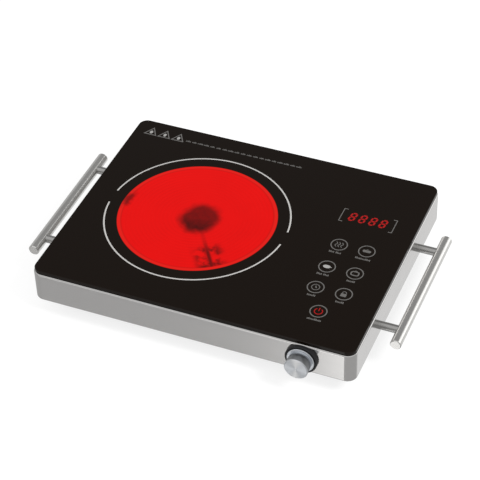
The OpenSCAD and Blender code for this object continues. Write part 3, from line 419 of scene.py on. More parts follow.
def enamel(name, base, glow=None):
    """Screen-printed enamel, or a lit mark when it has a glow."""
    material, tree, shader = new_material(name)
    grainy = effect(tree, "grain", scale=2500.0, roughness=0.32, spread=0.1)
    drift = ramp(tree, grainy.outputs["Drift"], 0, 0.4)
    feed(tree, shader, {
        "Base Color": mix_colour(tree, drift, base, shaded(base, 0.85)),
        "Roughness": grainy.outputs["Roughness"], "Specular IOR Level": 0.25})
    if glow:
        flicker = mix_colour(tree, grainy.outputs["Drift"], glow, shaded(glow, 0.8))
        feed(tree, shader, {"Emission Color": flicker, "Emission Strength": 1.0})
    add_bump(tree, shader, grainy.outputs["Height"], 0.05, 0.1 * MM)
    return material


def ribbon_loops(tree, heat, x_y, reach):
    """The loops of the ribbon, faint and uneven behind the glass."""
    wave = calculate(tree, "SINE", times(tree, reach, FULL_TURN / heat.loop_pitch))
    strength = ramp(tree, noise(tree, x_y, 15), -0.05, 0.10)
    patches = ramp(tree, noise(tree, x_y, 26, 4), -0.05, 0.15)
    depth = calculate(tree, "ADD", times(tree, wave, strength), patches)
    return mix_colour(tree, depth, heat.red, shaded(heat.red, 0.35))


def rim_line(tree, reach, radius):
    """A thin darker line along the inside of the rim band."""
    off_line = calculate(tree, "ABSOLUTE", calculate(tree, "SUBTRACT", reach, radius))
    return times(tree, fade(tree, off_line, 0.0, 1.4 * MM), 0.22)


def rod_shade(tree, heat, x_y):
    """The limiter rod's shadow and the stains near its outer end."""
    turned = add_node(tree, "ShaderNodeVectorRotate", {
        "Vector": x_y, "Axis": (0, 0, 1), "Angle": -heat.rod_angle}).outputs["Vector"]
    along = part(tree, turned, "X")
    beside = calculate(tree, "ABSOLUTE", part(tree, turned, "Y"))
    ahead = smooth_step(tree, along, 8 * MM, 30 * MM)
    close = fade(tree, beside, 0.2 * heat.rod_width, 1.5 * heat.rod_width)
    darker = ramp(tree, smooth_step(tree, along, 36 * MM, 62 * MM), 0.22, 0.85)
    near_end = smooth_step(tree, along, 44 * MM, 58 * MM)
    not_far = fade(tree, beside, 7 * MM, 21 * MM)
    spots = smooth_step(tree, noise(tree, x_y, 85, 3), 0.36, 0.62)
    return calculate(tree, "MAXIMUM", times(tree, ahead, close, darker),
                     times(tree, near_end, not_far, spots, 0.85))


def hub_shade(tree, heat, x_y):
    """The shaded hub: off centre, uneven, and darkest towards the front."""
    point = moved(tree, x_y, (4 * MM, -1.5 * MM, 0))
    reach = distance(tree, stretched(tree, point, (1, 0.92, 1)))
    hub = fade(tree, uneven(tree, reach, point, 55, 3, 6 * MM), 0.70 * heat.hub, 1.30 * heat.hub)
    to_back = smooth_step(tree, part(tree, point, "Y"), -16 * MM, 2 * MM)
    return times(tree, hub, uneven(tree, ramp(tree, to_back, 0.97, 0.83), point, 140, 3, 0.10))


def smoky_mark(tree, x_y):
    """A smoky mark across the left rim."""
    spot = stretched(tree, moved(tree, x_y, (-83 * MM, 2 * MM, 0)), (1.6, 0.7, 1))
    ragged = uneven(tree, distance(tree, spot), x_y, 120, 4, 8 * MM)
    return times(tree, fade(tree, ragged, 2 * MM, 13 * MM), 0.7)


def glow_light(tree, heat):
    """The light of the hot zone over the glass, and the mask of where it shows."""
    soft = 0.5 * MM
    x_y = stretched(tree, moved(tree, place(tree), (ZONE.x, ZONE.y, 0)), (1, 1, 0))
    reach = distance(tree, x_y)
    inner = heat.radius - heat.band
    on_band = smooth_step(tree, reach, inner - soft, inner + soft)
    inside_band = calculate(tree, "SUBTRACT", 1.0, on_band)
    zone = mix_colour(tree, on_band, ribbon_loops(tree, heat, x_y, reach), heat.rim_red)
    rod = times(tree, rod_shade(tree, heat, x_y), inside_band)
    hub = hub_shade(tree, heat, x_y)
    for shade in (rim_line(tree, reach, inner), rod, hub, smoky_mark(tree, x_y)):
        zone = mix_colour(tree, shade, zone, heat.hub_red)
    inside = fade(tree, reach, heat.radius - soft, heat.radius + soft)
    on_top = smooth_step(
        tree, part(tree, place(tree), "Z"), GLASS_TOP - 0.6 * MM, GLASS_TOP - 0.3 * MM)
    shown = times(tree, inside, on_top)
    return mix_colour(tree, shown, (0, 0, 0), zone), shown


def black_glass(heat):
    """Printed black glass-ceramic, with the heater's light showing through it."""
    material, tree, shader = new_material("black_glass")
    point = place(tree)
    smears = noise(tree, point, 14, 4)
    dust = smooth_step(tree, noise(tree, point, 900), 0.72, 0.80)
    light, shown = glow_light(tree, heat)
    black = mix_colour(tree, shown, (0.0040, 0.0018, 0.0006), (0.0010, 0.0001, 0.0001))
    feed(tree, shader, {
        "Base Color": mix_colour(tree, times(tree, dust, 0.10), black, (0.05, 0.05, 0.05)),
        "Roughness": ramp(tree, smears, 0.05, 0.13), "Specular IOR Level": 0.2,
        "Emission Color": light, "Emission Strength": 1.0})
    add_bump(tree, shader, noise(tree, point, 9), 0.02, 0.4 * MM)
    return material


def spun_aluminium(base):
    """Aluminium turned on a lathe: rings round the knob's axis, highlights that fan out, and a
    painted highlight wedge and painted shade in its colour.
    """
    material, tree, shader = new_material("spun_aluminium")
    off_axis = moved(tree, place(tree), (KNOB.x, 0, KNOB.z))
    flat = stretched(tree, off_axis, (1, 0, 1))
    depth = part(tree, off_axis, "Y")
    path = add_node(tree, "ShaderNodeCombineXYZ", {
        "X": distance(tree, flat), "Y": times(tree, depth, 0.8)})
    rings = noise(tree, path.outputs[0], 6000, 3)
    worn = effect(tree, "wear", amount=0.4)
    turn = calculate(tree, "ARCTAN2", part(tree, off_axis, "Z"), part(tree, off_axis, "X"))

    def fan(peak):
        """Two waves round the axis, which place the painted highlight and painted shade: 1 at the
        peak's angle, one half from an eighth turn off it.
        """
        off_peak = calculate(tree, "SUBTRACT", turn, math.radians(peak))
        return ramp(tree, calculate(tree, "COSINE", times(tree, off_peak, 2)), 0.5, 1.0)

    on_face = fade(tree, depth, KNOB_FACE + 0.3 * MM, KNOB_FACE + 0.9 * MM)
    on_waist = band(tree, depth, KNOB_FACE + 1.2 * MM, KNOB_BACK - 4.0 * MM, 0.4 * MM)
    # painted highlight: a near-white wedge on the face; painted shade: the rest of the face and the
    # waist darkened by their angle round the axis
    painted_highlight = calculate(tree, "POWER", fan(86), 4.0)
    painted_shade_on_face = times(tree, on_face, calculate(tree, "SUBTRACT", 1.0, painted_highlight), 0.42)
    painted_shade_on_waist = times(tree, on_waist, ramp(tree, fan(60), 0.0, 0.75))
    lit = mix_colour(tree, times(tree, on_face, painted_highlight), base, (1, 1, 1))
    metal = mix_colour(
        tree, calculate(tree, "ADD", painted_shade_on_face, painted_shade_on_waist), lit, shaded(base, 0.45))
    tone = mix_colour(tree, ramp(tree, rings, 0, 0.3), metal, shaded(base, 0.5))
    feed(tree, shader, {
        "Base Color": mix_colour(tree, worn.outputs["Mask"], tone, (0.93, 0.93, 0.93)),
        "Metallic": 1.0, "Roughness": ramp(tree, rings, 0.28, 0.38), "Anisotropic": 0.9,
        "Tangent": vector_math(tree, "CROSS_PRODUCT", (0, 1, 0), flat)})
    add_bump(tree, shader, rings, 0.06, 0.1 * MM)
    return material


def glowing_ribbon():
    """Glowing resistance ribbon, with patches that are less hot."""
    material, tree, shader = new_material("glowing_ribbon")
    grainy = effect(tree, "grain", scale=1200.0, roughness=0.6, spread=0.2)
    heat = mix_colour(tree, grainy.outputs["Drift"], (1.0, 0.16, 0.02), (0.7, 0.05, 0.01))
    feed(tree, shader, {
        "Base Color": (0.25, 0.08, 0.05), "Roughness": grainy.outputs["Roughness"],
        "Emission Color": heat, "Emission Strength": 1.5})
    return material


def circuit_board(name, base, copper):
    """Lacquered laminate with tracks that show as a paler relief."""
    material, tree, shader = new_material(name)
    tracks = add_node(tree, "ShaderNodeTexVoronoi", {
        "Vector": place(tree), "Scale": 210.0}, distance="MANHATTAN").outputs["Distance"]
    track = smooth_step(tree, tracks, 0.42, 0.5)
    grainy = effect(tree, "grain", scale=1500.0, roughness=0.38, spread=0.15)
    feed(tree, shader, {
        "Base Color": mix_colour(tree, track, base, copper),
        "Roughness": grainy.outputs["Roughness"]})
    add_bump(tree, shader, track, 0.2, 0.2 * MM)
    return material


def print_finish(name):
    """One of the printed finishes, made when it is first asked for."""
    ink = bpy.context.scene.hotplate_print
    if name in bpy.data.materials:
        return bpy.data.materials[name]
    if name == "red_light":
        return enamel(name, (0.03, 0.002, 0.002), ink.digit_colour)
    tones = {"white_enamel": ink.white, "grey_enamel": ink.grey, "pale_enamel": ink.pale}
    return enamel(name, tones[name])


def clad(material, *nodes):
    """Gives the CAD nodes their finish."""
    for name in nodes:
        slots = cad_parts[name].data.materials
        slots.clear()
        slots.append(material)


def clad_each(make, looks):
    """Makes each row's finish, and gives it to the nodes that the row names."""
    for name, nodes, *look in looks:
        clad(make(name, *look), *nodes.split())


def nodes_like(start="", end=""):
    """The CAD nodes whose names start and end so."""
    return [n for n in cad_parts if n.startswith(start) and n.endswith(end)]


def smooth_shade(*nodes):
    """Shades the CAD nodes' curved faces smoothly, and keeps edges sharper than 30 degrees."""
    for name in nodes:
        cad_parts[name].data.shade_smooth()
        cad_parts[name].data.set_sharp_from_angle(angle=math.radians(30))


# ------------------------------------------------------------------ flat printed shapes

def circle_points(radius, start=0.0, sweep=FULL_TURN, steps=48, centre=(0, 0)):
    """Points round an arc; a full circle leaves out the last point."""
    count = steps if sweep >= FULL_TURN else steps + 1
    return [(centre[0] + radius * math.cos(start + sweep * i / steps),
             centre[1] + radius * math.sin(start + sweep * i / steps)) for i in range(count)]


class FlatShape:
    """Flat enamel shapes of one height, drawn in millimetres and closed on all sides."""

    def __init__(self, thickness):
        self.bm = bmesh.new()
        self.low = -PRINT_SINK
        self.high = thickness

    def corner(self, point, z):
        return self.bm.verts.new((point[0] * MM, point[1] * MM, z))

    def patch(self, outline):
        """A filled outline, given counterclockwise."""
        below = [self.corner(p, self.low) for p in outline]
        above = [self.corner(p, self.high) for p in outline]
        self.bm.faces.new(above)
        self.bm.faces.new(below[::-1])
        for i in range(len(outline)):
            j = (i + 1) % len(outline)
            self.bm.faces.new((below[i], below[j], above[j], above[i]))

    def stroke(self, points, width, closed=False):
        """A line of an even width along the points."""
        count = len(points)
        path = [Vector(p) for p in points]
        rings = []
        for i, point in enumerate(path):
            before = path[i - 1] if i or closed else None
            after = path[(i + 1) % count] if i < count - 1 or closed else None
            into = (point - before).normalized() if before is not None else None
            out = (after - point).normalized() if after is not None else None
            heading = (into or out) + (out or into)
            heading.normalize()
            side = Vector((-heading.y, heading.x))
            fold = abs(side.dot(Vector((-(out or into).y, (out or into).x))))
            side *= width / 2 / max(fold, 0.4)
            rings.append([self.corner(p, z) for z in (self.low, self.high)
                          for p in (point - side, point + side)])
        for i in range(count if closed else count - 1):
            a, b = rings[i], rings[(i + 1) % count]
            self.bm.faces.new((a[2], b[2], b[3], a[3]))
            self.bm.faces.new((a[1], b[1], b[0], a[0]))
            self.bm.faces.new((a[0], b[0], b[2], a[2]))
            self.bm.faces.new((a[3], b[3], b[1], a[1]))
        if not closed:
            first, last = rings[0], rings[-1]
            self.bm.faces.new((first[0], first[2], first[3], first[1]))
            self.bm.faces.new((last[1], last[3], last[2], last[0]))

    def bar(self, x0, y0, x1, y1):
        self.patch([(x0, y0), (x1, y0), (x1, y1), (x0, y1)])

    def mesh(self, name, at=(0, 0, 0)):
        bmesh.ops.translate(self.bm, verts=self.bm.verts, vec=at)
        bmesh.ops.recalc_face_normals(self.bm, faces=self.bm.faces)
        result = bpy.data.meshes.new(name)
        self.bm.to_mesh(result)
        self.bm.free()
        return result


def printed(piece):
    """Registers a printed piece: it rides with the base."""
    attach(piece, "base")
    return piece


# ------------------------------------------------------------------ geometry nodes

def geometry_tree(name, inputs, takes_geometry):
    tree = bpy.data.node_groups.new(name, "GeometryNodeTree")
    if takes_geometry:
        tree.interface.new_socket("Geometry", in_out="INPUT", socket_type="NodeSocketGeometry")
    for label, kind, default in inputs:
        socket = tree.interface.new_socket(label, in_out="INPUT", socket_type=kind)
        if default is not None:
            socket.default_value = default
    tree.interface.new_socket("Geometry", in_out="OUTPUT", socket_type="NodeSocketGeometry")
    return tree, tree.nodes.new("NodeGroupInput"), tree.nodes.new("NodeGroupOutput")


def finish_tree(tree, end, geometry, material_socket):
    """Realizes the instances, sets the material and ends the tree."""
    solid = add_node(tree, "GeometryNodeRealizeInstances", {"Geometry": geometry})
    painted = add_node(tree, "GeometryNodeSetMaterial", {
        "Geometry": solid.outputs[0], "Material": material_socket})
    tree.links.new(painted.outputs[0], end.inputs[0])


def build_copies_tree():
    """Copies of one shape on every vertex, each drawn out along X by a seeded random amount."""
    tree, start, end = geometry_tree("Copies on points", [
        ("Shape", "NodeSocketObject", None),
        ("Least Length", "NodeSocketFloat", 1.0),
        ("Seed", "NodeSocketInt", 0),
        ("Material", "NodeSocketMaterial", None),
    ], True)
    shape = add_node(tree, "GeometryNodeObjectInfo", {"Object": start.outputs["Shape"]})
    draw = add_node(tree, "FunctionNodeRandomValue", {
        2: start.outputs["Least Length"], 3: 1.0, "Seed": start.outputs["Seed"]}, data_type="FLOAT")
    scale = add_node(tree, "ShaderNodeCombineXYZ", {"X": draw.outputs[1], "Y": 1.0, "Z": 1.0})
    placed = add_node(tree, "GeometryNodeInstanceOnPoints", {
        "Points": start.outputs["Geometry"], "Instance": shape.outputs["Geometry"],
        "Scale": scale.outputs[0]})
    finish_tree(tree, end, placed.outputs[0], start.outputs["Material"])
    return tree


def build_arcs_tree():
    """Two arcs of a ring, open on its left and right."""
    tree, start, end = geometry_tree("Open ring", [
        ("Centre", "NodeSocketVector", (0.0, 0.0, 0.0)),
        ("Radius", "NodeSocketFloat", 0.1),
        ("Line Width", "NodeSocketFloat", 0.002),
        ("Thickness", "NodeSocketFloat", 0.0001),
        ("Gap Angle", "NodeSocketFloat", 0.2),
        ("Material", "NodeSocketMaterial", None),
    ], False)
    join = add_node(tree, "GeometryNodeJoinGeometry")
    profile = add_node(tree, "GeometryNodeCurvePrimitiveQuadrilateral", {
        "Width": start.outputs["Line Width"], "Height": start.outputs["Thickness"]},
        mode="RECTANGLE")
    sweep = calculate(tree, "SUBTRACT", math.pi, start.outputs["Gap Angle"])
    half_gap = times(tree, start.outputs["Gap Angle"], 0.5)
    for turn in (0, math.pi):
        arc = add_node(tree, "GeometryNodeCurveArc", {
            "Resolution": 129, "Radius": start.outputs["Radius"],
            "Start Angle": calculate(tree, "ADD", half_gap, turn), "Sweep Angle": sweep},
            mode="RADIUS")
        strip = add_node(tree, "GeometryNodeCurveToMesh", {
            "Curve": arc.outputs["Curve"], "Profile Curve": profile.outputs[0],
            "Fill Caps": True})
        tree.links.new(strip.outputs[0], join.inputs[0])
    ring = add_node(tree, "GeometryNodeTransform", {
        "Geometry": join.outputs[0], "Translation": start.outputs["Centre"]})
    finish_tree(tree, end, ring.outputs[0], start.outputs["Material"])
    return tree


def grow(name, tree, values, points=()):
    """Runs a tree on the points, and keeps what it makes as a plain mesh."""
    seed = bpy.data.meshes.new(name)
    seed.from_pydata([tuple(p) for p in points], [], [])
    piece = add_object(name, seed)
    modifier = piece.modifiers.new("Build", "NODES")
    modifier.node_group = tree
    for item in tree.interface.items_tree:
        if item.in_out == "INPUT" and item.name in values:
            modifier[item.identifier] = values[item.name]
    bpy.context.view_layer.update()
    evaluated = piece.evaluated_get(bpy.context.evaluated_depsgraph_get())
    result = bpy.data.meshes.new_from_object(evaluated)
    piece.modifiers.clear()
    piece.data = result
    result.name = name
    return piece


def copies(name, shape_mesh, points, material, least=1.0, seed=0):
    """Copies of a flat shape on points of the glass, as one printed piece."""
    shape = add_object(name + "_shape", shape_mesh)
    tree = bpy.data.node_groups.get("Copies on points") or build_copies_tree()
    spots = [(x, y, GLASS_TOP) for x, y in points]
    piece = grow(name, tree, {
        "Shape": shape, "Least Length": least, "Seed": seed, "Material": material}, spots)
    bpy.data.objects.remove(shape)
    return printed(piece)


def print_flat(name, flat, x, y, material):
    """A single flat shape, printed at a place on the glass."""
    piece = add_object(name, flat.mesh(name, (x, y, GLASS_TOP)))
    piece.data.materials.append(material)
    return printed(piece)


# ------------------------------------------------------------------ printed marks, in millimetres

# the first triangle and the first word at the rear, from the glass's centre
TRIANGLES_AT = (-159.6, 115.8)
NOTICE_AT = (-112.5, 119)
NOTICE_PITCH = 7.5


def draw_heat(flat):
    """Three rising waves."""
    for x in (-3.2, 0, 3.2):
        heights = [-4 + 0.5 * i for i in range(17)]
        flat.stroke([(x + 0.9 * math.sin(y * 1.05), y) for y in heights], 0.9)


def draw_grill(flat):
    """A rounded grill plate."""
    flat.patch(circle_points(1.9, math.pi / 2, math.pi, 12, (-2.8, 0))
               + circle_points(1.9, -math.pi / 2, math.pi, 12, (2.8, 0)))
    flat.bar(-1.0, 2.6, 1.0, 3.2)


def draw_pan(flat):
    """A pan with its handle."""
    flat.patch([(x, y * 0.62) for x, y in circle_points(4.1, steps=32, centre=(-0.3, 0))])
    flat.bar(3.6, -0.45, 5.0, 0.45)


def draw_pot(flat):
    """A round-cornered pot with its lid's knob."""
    def swell(value):
        """Draws a circle's coordinate out towards a square's."""
        return math.copysign(abs(value) ** 0.6, value)

    outline = [(4.1 * swell(x), 2.9 * swell(y) - 0.3) for x, y in circle_points(1, steps=32)]
    flat.stroke(outline, 1.4, closed=True)
    flat.bar(-1.4, 3.5, 1.4, 4.3)


def draw_clock(flat):
    """A clock's face with two hands."""
    flat.stroke(circle_points(4.2, steps=36), 0.9, closed=True)
    flat.stroke([(0, 2.2), (0, 0), (1.6, -1.0)], 1.1)


def draw_lock(flat):
    """A padlock."""
    flat.bar(-3.1, -3.9, 3.1, 0.6)
    bow = circle_points(2.0, math.pi, -math.pi, 12, (0, 1.9))
    flat.stroke([(-2.0, 0.7), *bow, (2.0, 0.7)], 0.9)


def draw_power(flat):
    """An open ring with an upright stroke."""
    flat.stroke(circle_points(4.2, math.radians(125), math.radians(290), 32), 1.0)
    flat.bar(-0.5, 0.6, 0.5, 5.2)


# how a key is drawn, its row and column (none for the middle), and the groups of bars below it
PICTOGRAMS = {
    "power": (draw_power, 0, None, (10,)),
    "clock": (draw_clock, 1, 0, (6,)),
    "lock": (draw_lock, 1, 1, (6,)),
    "pan": (draw_pan, 2, 0, (4, 4)),
    "pot": (draw_pot, 2, 1, (6,)),
    "heat": (draw_heat, 3, 0, (4, 4)),
    "grill": (draw_grill, 3, 1, (11,)),
}
# how far each row, from the front, stands off an even spacing
ROW_SHIFTS = (0.7, -0.7, -1.4, 1.2)
# shares of the full height, taken in turn
BAR_HEIGHTS = (1.0, 0.7, 0.75, 0.7, 1.0, 0.7, 0.9)


def draw_bars(flat, groups, height, centre=(0, 0), pitch=1.55, wide=1.12, space=1.3):
    """Upright bars in groups, where the real panel has small lettering."""
    x = centre[0] - (sum(groups) * pitch + (len(groups) - 1) * space) / 2
    foot = centre[1] - height / 2
    for count in groups:
        for i in range(count):
            share_of_height = BAR_HEIGHTS[(3 * i + count) % len(BAR_HEIGHTS)]
            flat.bar(x, foot, x + wide, foot + height * share_of_height)
            x += pitch
        x += space


def key_spot(row, column):
    """The place of a key on the glass."""
    x = POWER_KEY.x if column is None else KEY_COLUMNS[column]
    return x, KEY_FRONT + row * KEY_ROW + ROW_SHIFTS[row] * MM


# ------------------------------------------------------------------ operators

class HOTPLATE_OT_glass(bpy.types.Operator):
    """Gives the glass its black print and the light of the heater"""
    bl_idname = "hotplate.glass"
    bl_label = "Finish Glass"

    def execute(self, context):
        clad(black_glass(context.scene.hotplate_heat), "glass_plate")
        smooth_shade("glass_plate")
        clad(moulded("silicone", (0.02, 0.02, 0.02), 0.6, 700.0), "glass_seal")
        return {"FINISHED"}


class HOTPLATE_OT_zone_ring(bpy.types.Operator):
    """Prints the open ring round the heating zone"""
    bl_idname = "hotplate.zone_ring"
    bl_label = "Print Zone Ring"

    def execute(self, context):
        ink = context.scene.hotplate_print
        half_gap = math.asin(ink.ring_gap / 2 / ink.ring_radius)
        printed(grow("zone_ring", build_arcs_tree(), {
            "Centre": (ZONE.x, ZONE.y, GLASS_TOP), "Radius": ink.ring_radius,
            "Line Width": ink.ring_line, "Thickness": 2 * ink.thickness,
            "Gap Angle": 2 * half_gap, "Material": print_finish("white_enamel")}))
        return {"FINISHED"}


class HOTPLATE_OT_keys(bpy.types.Operator):
    """Prints the touch keys: rings, pictograms and the marks below them"""
    bl_idname = "hotplate.keys"
    bl_label = "Print Keys"

    def execute(self, context):
        ink = context.scene.hotplate_print
        grey = print_finish("grey_enamel")
        finishes = {"power": print_finish("red_light"), "pan": print_finish("pale_enamel")}
        spots = [key_spot(row, column) for _, row, column, _ in PICTOGRAMS.values()]
        ring = FlatShape(ink.thickness)
        ring.stroke(circle_points(ink.key_radius / MM), ink.key_line / MM, closed=True)
        copies("key_rings", ring.mesh("key_ring"), spots, grey)
        labels = FlatShape(ink.thickness)
        for (name, (draw, _, _, groups)), (x, y) in zip(PICTOGRAMS.items(), spots):
            flat = FlatShape(ink.thickness)
            draw(flat)
            print_flat("key_" + name, flat, x, y, finishes.get(name, grey))
            centre = (x / MM, (y - ink.label_drop) / MM)
            draw_bars(labels, groups, ink.label_height / MM, centre)
        print_flat("key_labels", labels, 0, 0, grey)
        return {"FINISHED"}


class HOTPLATE_OT_display(bpy.types.Operator):
    """Prints the display's brackets and lights its four digits"""
    bl_idname = "hotplate.display"
    bl_label = "Print Display"

    def execute(self, context):
        ink = context.scene.hotplate_print
        high, wide, tick = ink.bracket_height / 2 / MM, ink.bracket_width / 2 / MM, 4.2
        brackets = FlatShape(ink.thickness)
        for side in (-1, 1):
            outer, inner = side * wide, side * (wide - tick)
            brackets.stroke([(inner, high), (outer, high), (outer, -high), (inner, -high)],
                            ink.bracket_line / MM)
        print_flat("display_brackets", brackets, DISPLAY.x, DISPLAY.y, print_finish("grey_enamel"))
        row = [(DISPLAY.x + (i - 1.5) * ink.digit_pitch, DISPLAY.y) for i in range(4)]
        digit = digit_mesh(ink.digit_height / MM, ink.thickness)
        copies("display_digits", digit, row, print_finish("red_light"))
        return {"FINISHED"}


def digit_mesh(height, thickness):
    """A leaning figure eight of seven segments with pointed ends."""
    flat = FlatShape(thickness)
    line, gap, lean = 1.9, 0.35, 0.16
    wide, tall = height * 0.52 - line, height / 2 - line / 2

    def segment(a, b):
        start, end = Vector(a), Vector(b)
        heading = (end - start).normalized()
        side = Vector((-heading.y, heading.x)) * line / 2
        tip, shoulder = heading * gap, heading * (gap + line / 2)
        outline = [start + tip, start + shoulder - side, end - shoulder - side,
                   end - tip, end - shoulder + side, start + shoulder + side]
        flat.patch([(p.x + p.y * lean, p.y) for p in outline])

    for y in (-tall, 0, tall):
        segment((-wide / 2, y), (wide / 2, y))
    for x in (-wide / 2, wide / 2):
        for y in (-tall, 0):
            segment((x, y), (x, y + tall))
    return flat.mesh("digit")


class HOTPLATE_OT_rear_marks(bpy.types.Operator):
    """Prints the plain marks along the rear edge: three triangles and a row of dashes"""
    bl_idname = "hotplate.rear_marks"
    bl_label = "Print Rear Marks"

    def execute(self, context):
        ink = context.scene.hotplate_print
        grey = print_finish("grey_enamel")
        side = ink.triangle_side / MM
        rise = side * math.sqrt(3) / 2
        left, level = (centre + shift * MM for centre, shift in zip(GLASS, TRIANGLES_AT))
        row = [(left + i * ink.triangle_pitch, level) for i in range(3)]
        sign = FlatShape(ink.thickness)
        sign.stroke([(-side / 2, 0), (side / 2, 0), (0, rise)], 1.3, closed=True)
        copies("rear_triangles", sign.mesh("triangle"), row, grey)
        drop = FlatShape(ink.thickness)
        drop.patch([(x, y * 1.35 + rise * 0.36) for x, y in circle_points(2.0, steps=20)])
        copies("rear_triangle_marks", drop.mesh("drop"), row, print_finish("pale_enamel"),
               least=0.6, seed=3)
        word = FlatShape(ink.thickness)
        draw_bars(word, (5,), 2.4, pitch=1.4, wide=1.05)
        left, level = (centre + shift * MM for centre, shift in zip(GLASS, NOTICE_AT))
        pitch = NOTICE_PITCH * MM
        dashes = [(left + i * pitch, level) for i in range(int(ink.notice_length / pitch))]
        copies("rear_dashes", word.mesh("notice_word"), dashes, grey, least=0.75, seed=9)
        return {"FINISHED"}


class HOTPLATE_OT_casing(bpy.types.Operator):
    """Gives the casing and the handles their satin steel"""
    bl_idname = "hotplate.casing"
    bl_label = "Finish Casing and Handles"

    def execute(self, context):
        metal = context.scene.hotplate_metal
        steel = brushed("satin_steel", metal.steel, (0.012, 0.012, 1.0), 0.16, metal.brushing,
                        bump=0.05, spread=0.09, wear=metal.wear)
        bar_steel = brushed("bar_steel", metal.bars, (0.6, 0.03, 0.6), 0.23, 1800.0,
                            bump=0.04, spread=0.08)
        post_steel = brushed("post_steel", metal.posts, (0.03, 0.6, 0.6), 0.27, 1800.0,
                             bump=0.03, spread=0.08)
        plate_steel = brushed("plate_steel", (0.5, 0.51, 0.52), (0.02, 0.02, 1.0), 0.4)
        bars, posts = nodes_like("handle_bar"), nodes_like("handle_post")
        clad(steel, "casing")
        clad(bar_steel, *bars)
        clad(post_steel, *posts)
        clad(plate_steel, *nodes_like("handle_plate"))
        smooth_shade("casing", *bars, *posts)
        return {"FINISHED"}


class HOTPLATE_OT_knob(bpy.types.Operator):
    """Gives the knob its spun face, and its collar a matt black"""
    bl_idname = "hotplate.knob"
    bl_label = "Finish Knob"

    def execute(self, context):
        clad(spun_aluminium(context.scene.hotplate_metal.knob), "knob_cap")
        clad_each(moulded, (
            ("collar_black", "knob_collar", (0.006, 0.006, 0.007), 0.42, 1200.0, 0.08, 0.25),
            ("core_plastic", "knob_core", (0.05, 0.05, 0.055)),
        ))
        clad_each(brushed, (
            ("zinc", "encoder_body encoder_washer encoder_nut",
             (0.5, 0.5, 0.48), (0.3, 0.3, 0.3), 0.42, 900.0),
            ("turned_steel", "encoder_shaft fan_shaft",
             (0.6, 0.6, 0.58), (1.0, 1.0, 1.0), 0.28, 900.0),
        ))
        smooth_shade("knob_cap", "knob_collar", "knob_core", "encoder_shaft", "encoder_body")
        return {"FINISHED"}


class HOTPLATE_OT_base(bpy.types.Operator):
    """Finishes the tray, the feet, the screws and the cord gland"""
    bl_idname = "hotplate.base"
    bl_label = "Finish Base"

    def execute(self, context):
        screws = nodes_like(end="_screws")
        feet = [n for n in nodes_like("foot_") if n not in screws]
        clad_each(moulded, (
            ("tray_black", "base_tray", (0.022, 0.022, 0.024), 0.55, 650.0, 0.3),
            ("foot_rubber", " ".join(feet), (0.014, 0.014, 0.014), 0.75, 500.0, 0.25, 0.2),
            ("gland_nylon", "cord_gland gland_nut", (0.018, 0.018, 0.02), 0.4, 1000.0, 0.1),
        ))
        clad(brushed("zinc_plated", (0.62, 0.62, 0.6), (0.5, 0.5, 0.5), 0.34, 700.0), *screws)
        smooth_shade("base_tray", "cord_gland", *feet, *screws)
        return {"FINISHED"}


class HOTPLATE_OT_heater(bpy.types.Operator):
    """Finishes the radiant heater and its shield"""
    bl_idname = "hotplate.heater"
    bl_label = "Finish Heater"

    def execute(self, context):
        clad_each(brushed, (
            ("aluminised", "heater_pan", (0.55, 0.55, 0.57), (0.4, 0.4, 0.4), 0.4, 500.0),
            ("spring_steel", "heater_springs glass_sensor touch_springs",
             (0.5, 0.5, 0.5), (1.0, 1.0, 1.0), 0.35, 600.0),
            ("shield_sheet", "heat_shield", (0.66, 0.67, 0.68), (0.02, 0.02, 1.0), 0.36),
        ))
        clad_each(moulded, (
            ("insulation_fibre", "insulation_base insulation_ring",
             (0.62, 0.60, 0.54), 0.95, 350.0, 0.6, 0.1),
            ("steatite", "limiter_head heater_terminal", (0.72, 0.70, 0.64), 0.45, 1500.0, 0.08),
            ("quartz_rod", "limiter_rod", (0.5, 0.47, 0.43), 0.3, 900.0, 0.08),
        ))
        clad(glowing_ribbon(), "heating_ribbon")
        smooth_shade("heater_pan", "insulation_base", "insulation_ring", "limiter_rod",
                     "heating_ribbon", "heater_springs", "touch_springs")
        return {"FINISHED"}


class HOTPLATE_OT_electronics(bpy.types.Operator):
    """Finishes the two boards and what they carry"""
    bl_idname = "hotplate.electronics"
    bl_label = "Finish Electronics"

    def execute(self, context):
        clad_each(circuit_board, (
            ("green_board", "control_board", (0.008, 0.07, 0.03), (0.03, 0.16, 0.07)),
            ("tan_board", "power_board", (0.22, 0.15, 0.06), (0.34, 0.24, 0.10)),
        ))
        clad_each(moulded, (
            ("panel_plastic", "panel_frame", (0.045, 0.045, 0.05)),
            ("milky_lens", "display_module", (0.6, 0.6, 0.58), 0.25, 1500.0, 0.04),
            ("part_black", "control_chip buzzer", (0.015, 0.015, 0.016), 0.4, 1400.0, 0.08),
            ("relay_blue", "relay", (0.012, 0.08, 0.28), 0.35, 1200.0, 0.06),
            ("winding_tape", "transformer", (0.52, 0.40, 0.06), 0.4, 600.0, 0.1),
            ("capacitor_epoxy", "filter_capacitor", (0.5, 0.42, 0.28), 0.35, 800.0, 0.08),
            ("terminal_green", "terminal_block", (0.01, 0.12, 0.03), 0.45, 1000.0, 0.08),
            ("silk_sleeve", "wiring", (0.5, 0.48, 0.42), 0.8, 1800.0, 0.5, 0.15),
            ("flat_cable", "board_cable", (0.28, 0.29, 0.31), 0.45, 900.0, 0.1),
        ))
        extruded = brushed("extruded_aluminium", (0.66, 0.68, 0.70), (1.0, 1.0, 0.02), 0.34)
        clad(extruded, "heat_sink")
        smooth_shade("wiring", "transformer", "buzzer", "board_cable")
        return {"FINISHED"}


